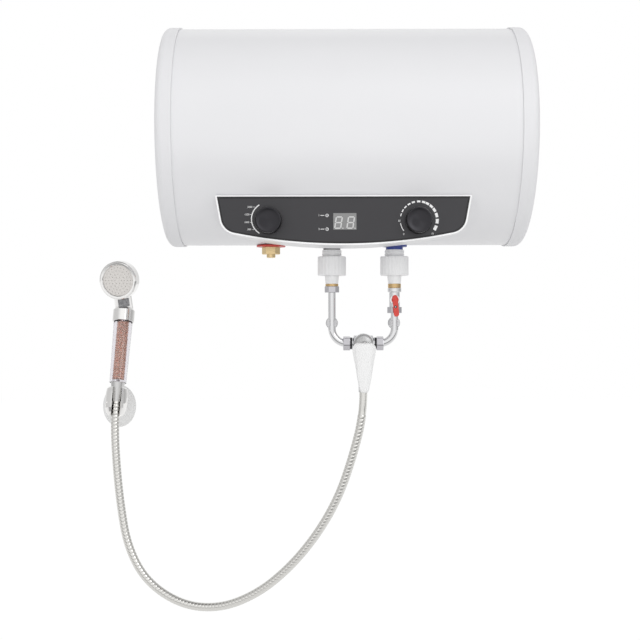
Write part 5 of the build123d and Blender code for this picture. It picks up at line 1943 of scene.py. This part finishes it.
@dataclass
class HandShower:
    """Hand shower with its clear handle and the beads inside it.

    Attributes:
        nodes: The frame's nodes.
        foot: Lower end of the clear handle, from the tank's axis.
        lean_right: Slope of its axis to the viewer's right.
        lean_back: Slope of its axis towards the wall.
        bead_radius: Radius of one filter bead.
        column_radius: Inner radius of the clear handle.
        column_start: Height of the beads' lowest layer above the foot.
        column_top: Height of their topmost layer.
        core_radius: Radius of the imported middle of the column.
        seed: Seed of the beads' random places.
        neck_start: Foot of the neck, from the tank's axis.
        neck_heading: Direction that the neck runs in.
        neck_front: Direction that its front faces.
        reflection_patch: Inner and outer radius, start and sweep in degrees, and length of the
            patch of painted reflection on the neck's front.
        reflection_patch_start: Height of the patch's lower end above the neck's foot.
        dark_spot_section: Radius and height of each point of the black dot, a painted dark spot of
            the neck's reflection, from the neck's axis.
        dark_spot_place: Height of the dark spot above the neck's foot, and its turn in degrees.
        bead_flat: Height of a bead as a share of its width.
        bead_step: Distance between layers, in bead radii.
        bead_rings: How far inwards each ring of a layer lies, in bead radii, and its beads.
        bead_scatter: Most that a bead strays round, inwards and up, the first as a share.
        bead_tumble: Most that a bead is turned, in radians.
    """

    nodes: Nodes
    foot: Place = (-385.2, 122.0, -396.2)
    lean_right: float = 0.045
    lean_back: float = 0.2493
    bead_radius: float = 2.7
    column_radius: float = 10.5
    column_start: float = 4.2
    column_top: float = 110.0
    core_radius: float = 7.4
    seed: int = 11
    neck_start: Place = (-379.49, 153.66, -269.21)
    neck_heading: Place = (-0.0511, -0.3553, 0.9333)
    neck_front: Place = (-0.1479, -0.9216, -0.3589)
    reflection_patch: tuple[float, float, float, float, float] = (13.6, 15.4, -18.0, 78.0, 14.0)
    reflection_patch_start: float = 8.4
    dark_spot_section: Pairs = ((0, 14.2), (1.5, 14.2), (1.5, 15.75), (1.1, 15.85), (0, 15.85))
    dark_spot_place: tuple[float, float] = (5.8, 14.0)
    bead_flat: float = 0.94
    bead_step: float = 1.66
    bead_rings: tuple[tuple[float, int], ...] = ((1.0, 9), (2.95, 3))
    bead_scatter: tuple[float, float, float] = (0.12, 0.35, 0.4)
    bead_tumble: float = 6.0

    def seat(self) -> Seat:
        """Seat on the handle's axis.

        Returns:
            The seat, at the foot of the clear part.
        """
        axis = Vector((self.lean_right, self.lean_back, 1.0)).normalized()
        across = Vector((1, 0, 0)) - axis * axis.x
        return Seat(spot(*self.foot), axis, across.normalized())

    def build(self) -> None:
        """Dresses the hand shower and fills its handle."""
        dress(self.nodes, {
            "shower_head": PLATED,
            "face_ring": PLATED,
            "spray_plate": PLATE_BEIGE,
            "handle_tube": CLEAR,
            "hose_cone": CONE_PLATING,
        })
        self.beads()
        self.paint_neck_reflection()

    def paint_neck_reflection(self) -> None:
        """Painted reflection on the front of the neck: a dark mottled patch, and a black dot under
        it as a dark spot of the same reflection.
        """
        seat = Seat(spot(*self.neck_start), Vector(self.neck_heading), Vector(self.neck_front))
        # Mottled dark patch on the neck's front: painted reflection.
        reflection_patch = arc_bar("neck_reflection_patch", *self.reflection_patch)
        reflection_patch.data.transform(Matrix.Translation((0, 0, self.reflection_patch_start)))
        softened(reflection_patch, width=0.2, segments=1)
        set_down(reflection_patch, seat, NECK_REFLECTION_PAINT, Body.SHOWER)
        # Black dot under the patch: painted dark spot of the same reflection.
        dark_spot = lathe("neck_dark_spot", self.dark_spot_section, steps=28)
        height, turn = self.dark_spot_place
        outwards = Matrix.Rotation(math.pi / 2, 4, "Y")
        turned = Matrix.Rotation(math.radians(turn), 4, "Z") @ outwards
        dark_spot.data.transform(Matrix.Translation((0, 0, height)) @ turned)
        set_down(dark_spot, seat, GLOSS_BLACK, Body.SHOWER)

    def beads(self) -> None:
        """Packs small beads in layers inside the clear handle."""
        start_clean()
        bpy.ops.mesh.primitive_ico_sphere_add(subdivisions=2, radius=self.bead_radius)
        bead = bpy.context.object
        bead.data.transform(Matrix.Diagonal((1.0, 1.0, self.bead_flat, 1.0)))
        draw = random.Random(self.seed)
        layer_step = self.bead_step * self.bead_radius
        layers = int((self.column_top - self.column_start - 2 * self.bead_radius) / layer_step)
        round_share, inwards, upwards = self.bead_scatter
        parts = []
        for layer in range(layers + 1):
            height = self.column_start + self.bead_radius + layer * layer_step
            for inset, count in self.bead_rings:
                radius = self.column_radius - inset * self.bead_radius
                phase = draw.uniform(0, 2 * math.pi)
                for step in range(count):
                    stray = draw.uniform(-round_share, round_share)
                    turn = phase + 2 * math.pi * (step + stray) / count
                    reach = radius - draw.uniform(0.0, inwards)
                    rise = height + draw.uniform(-upwards, upwards)
                    place = (reach * math.cos(turn), reach * math.sin(turn), rise)
                    tumble = Matrix.Rotation(draw.uniform(0, self.bead_tumble), 4, "X")
                    parts.append(copied(bead, Matrix.Translation(place) @ tumble))
        bpy.data.objects.remove(bead)
        low, high = self.column_start, self.column_top - self.bead_radius
        section = ((0, low), (self.core_radius, low), (self.core_radius, high), (0, high))
        core = lathe("core", section, steps=32)
        column = joined("filter_bead_column", [*parts, core])
        set_down(column, self.seat(), BEAD, Body.SHOWER, smooth=60.0)
        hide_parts("filter_beads")


@dataclass
class Holder:
    """Wall holder of the hand shower.

    Attributes:
        nodes: The frame's nodes.
    """

    nodes: Nodes

    def build(self) -> None:
        """Dresses the holder."""
        dress(self.nodes, {"holder_base": BASE_WHITE, "holder_fork": PLATED})


def main() -> None:
    """Loads the frame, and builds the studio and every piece."""
    logging.basicConfig(level=logging.INFO, format="%(message)s")
    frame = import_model()
    nodes = frame["nodes"]
    bpy.context.scene.view_settings.view_transform = "Standard"
    Studio().build()
    Hose().build()
    for assembly in (
        Heater(nodes),
        ControlPanel(nodes),
        Connections(nodes),
        Mixer(nodes),
        HandShower(nodes),
        Holder(nodes),
    ):
        assembly.build()


if __name__ == "__main__":
    main()
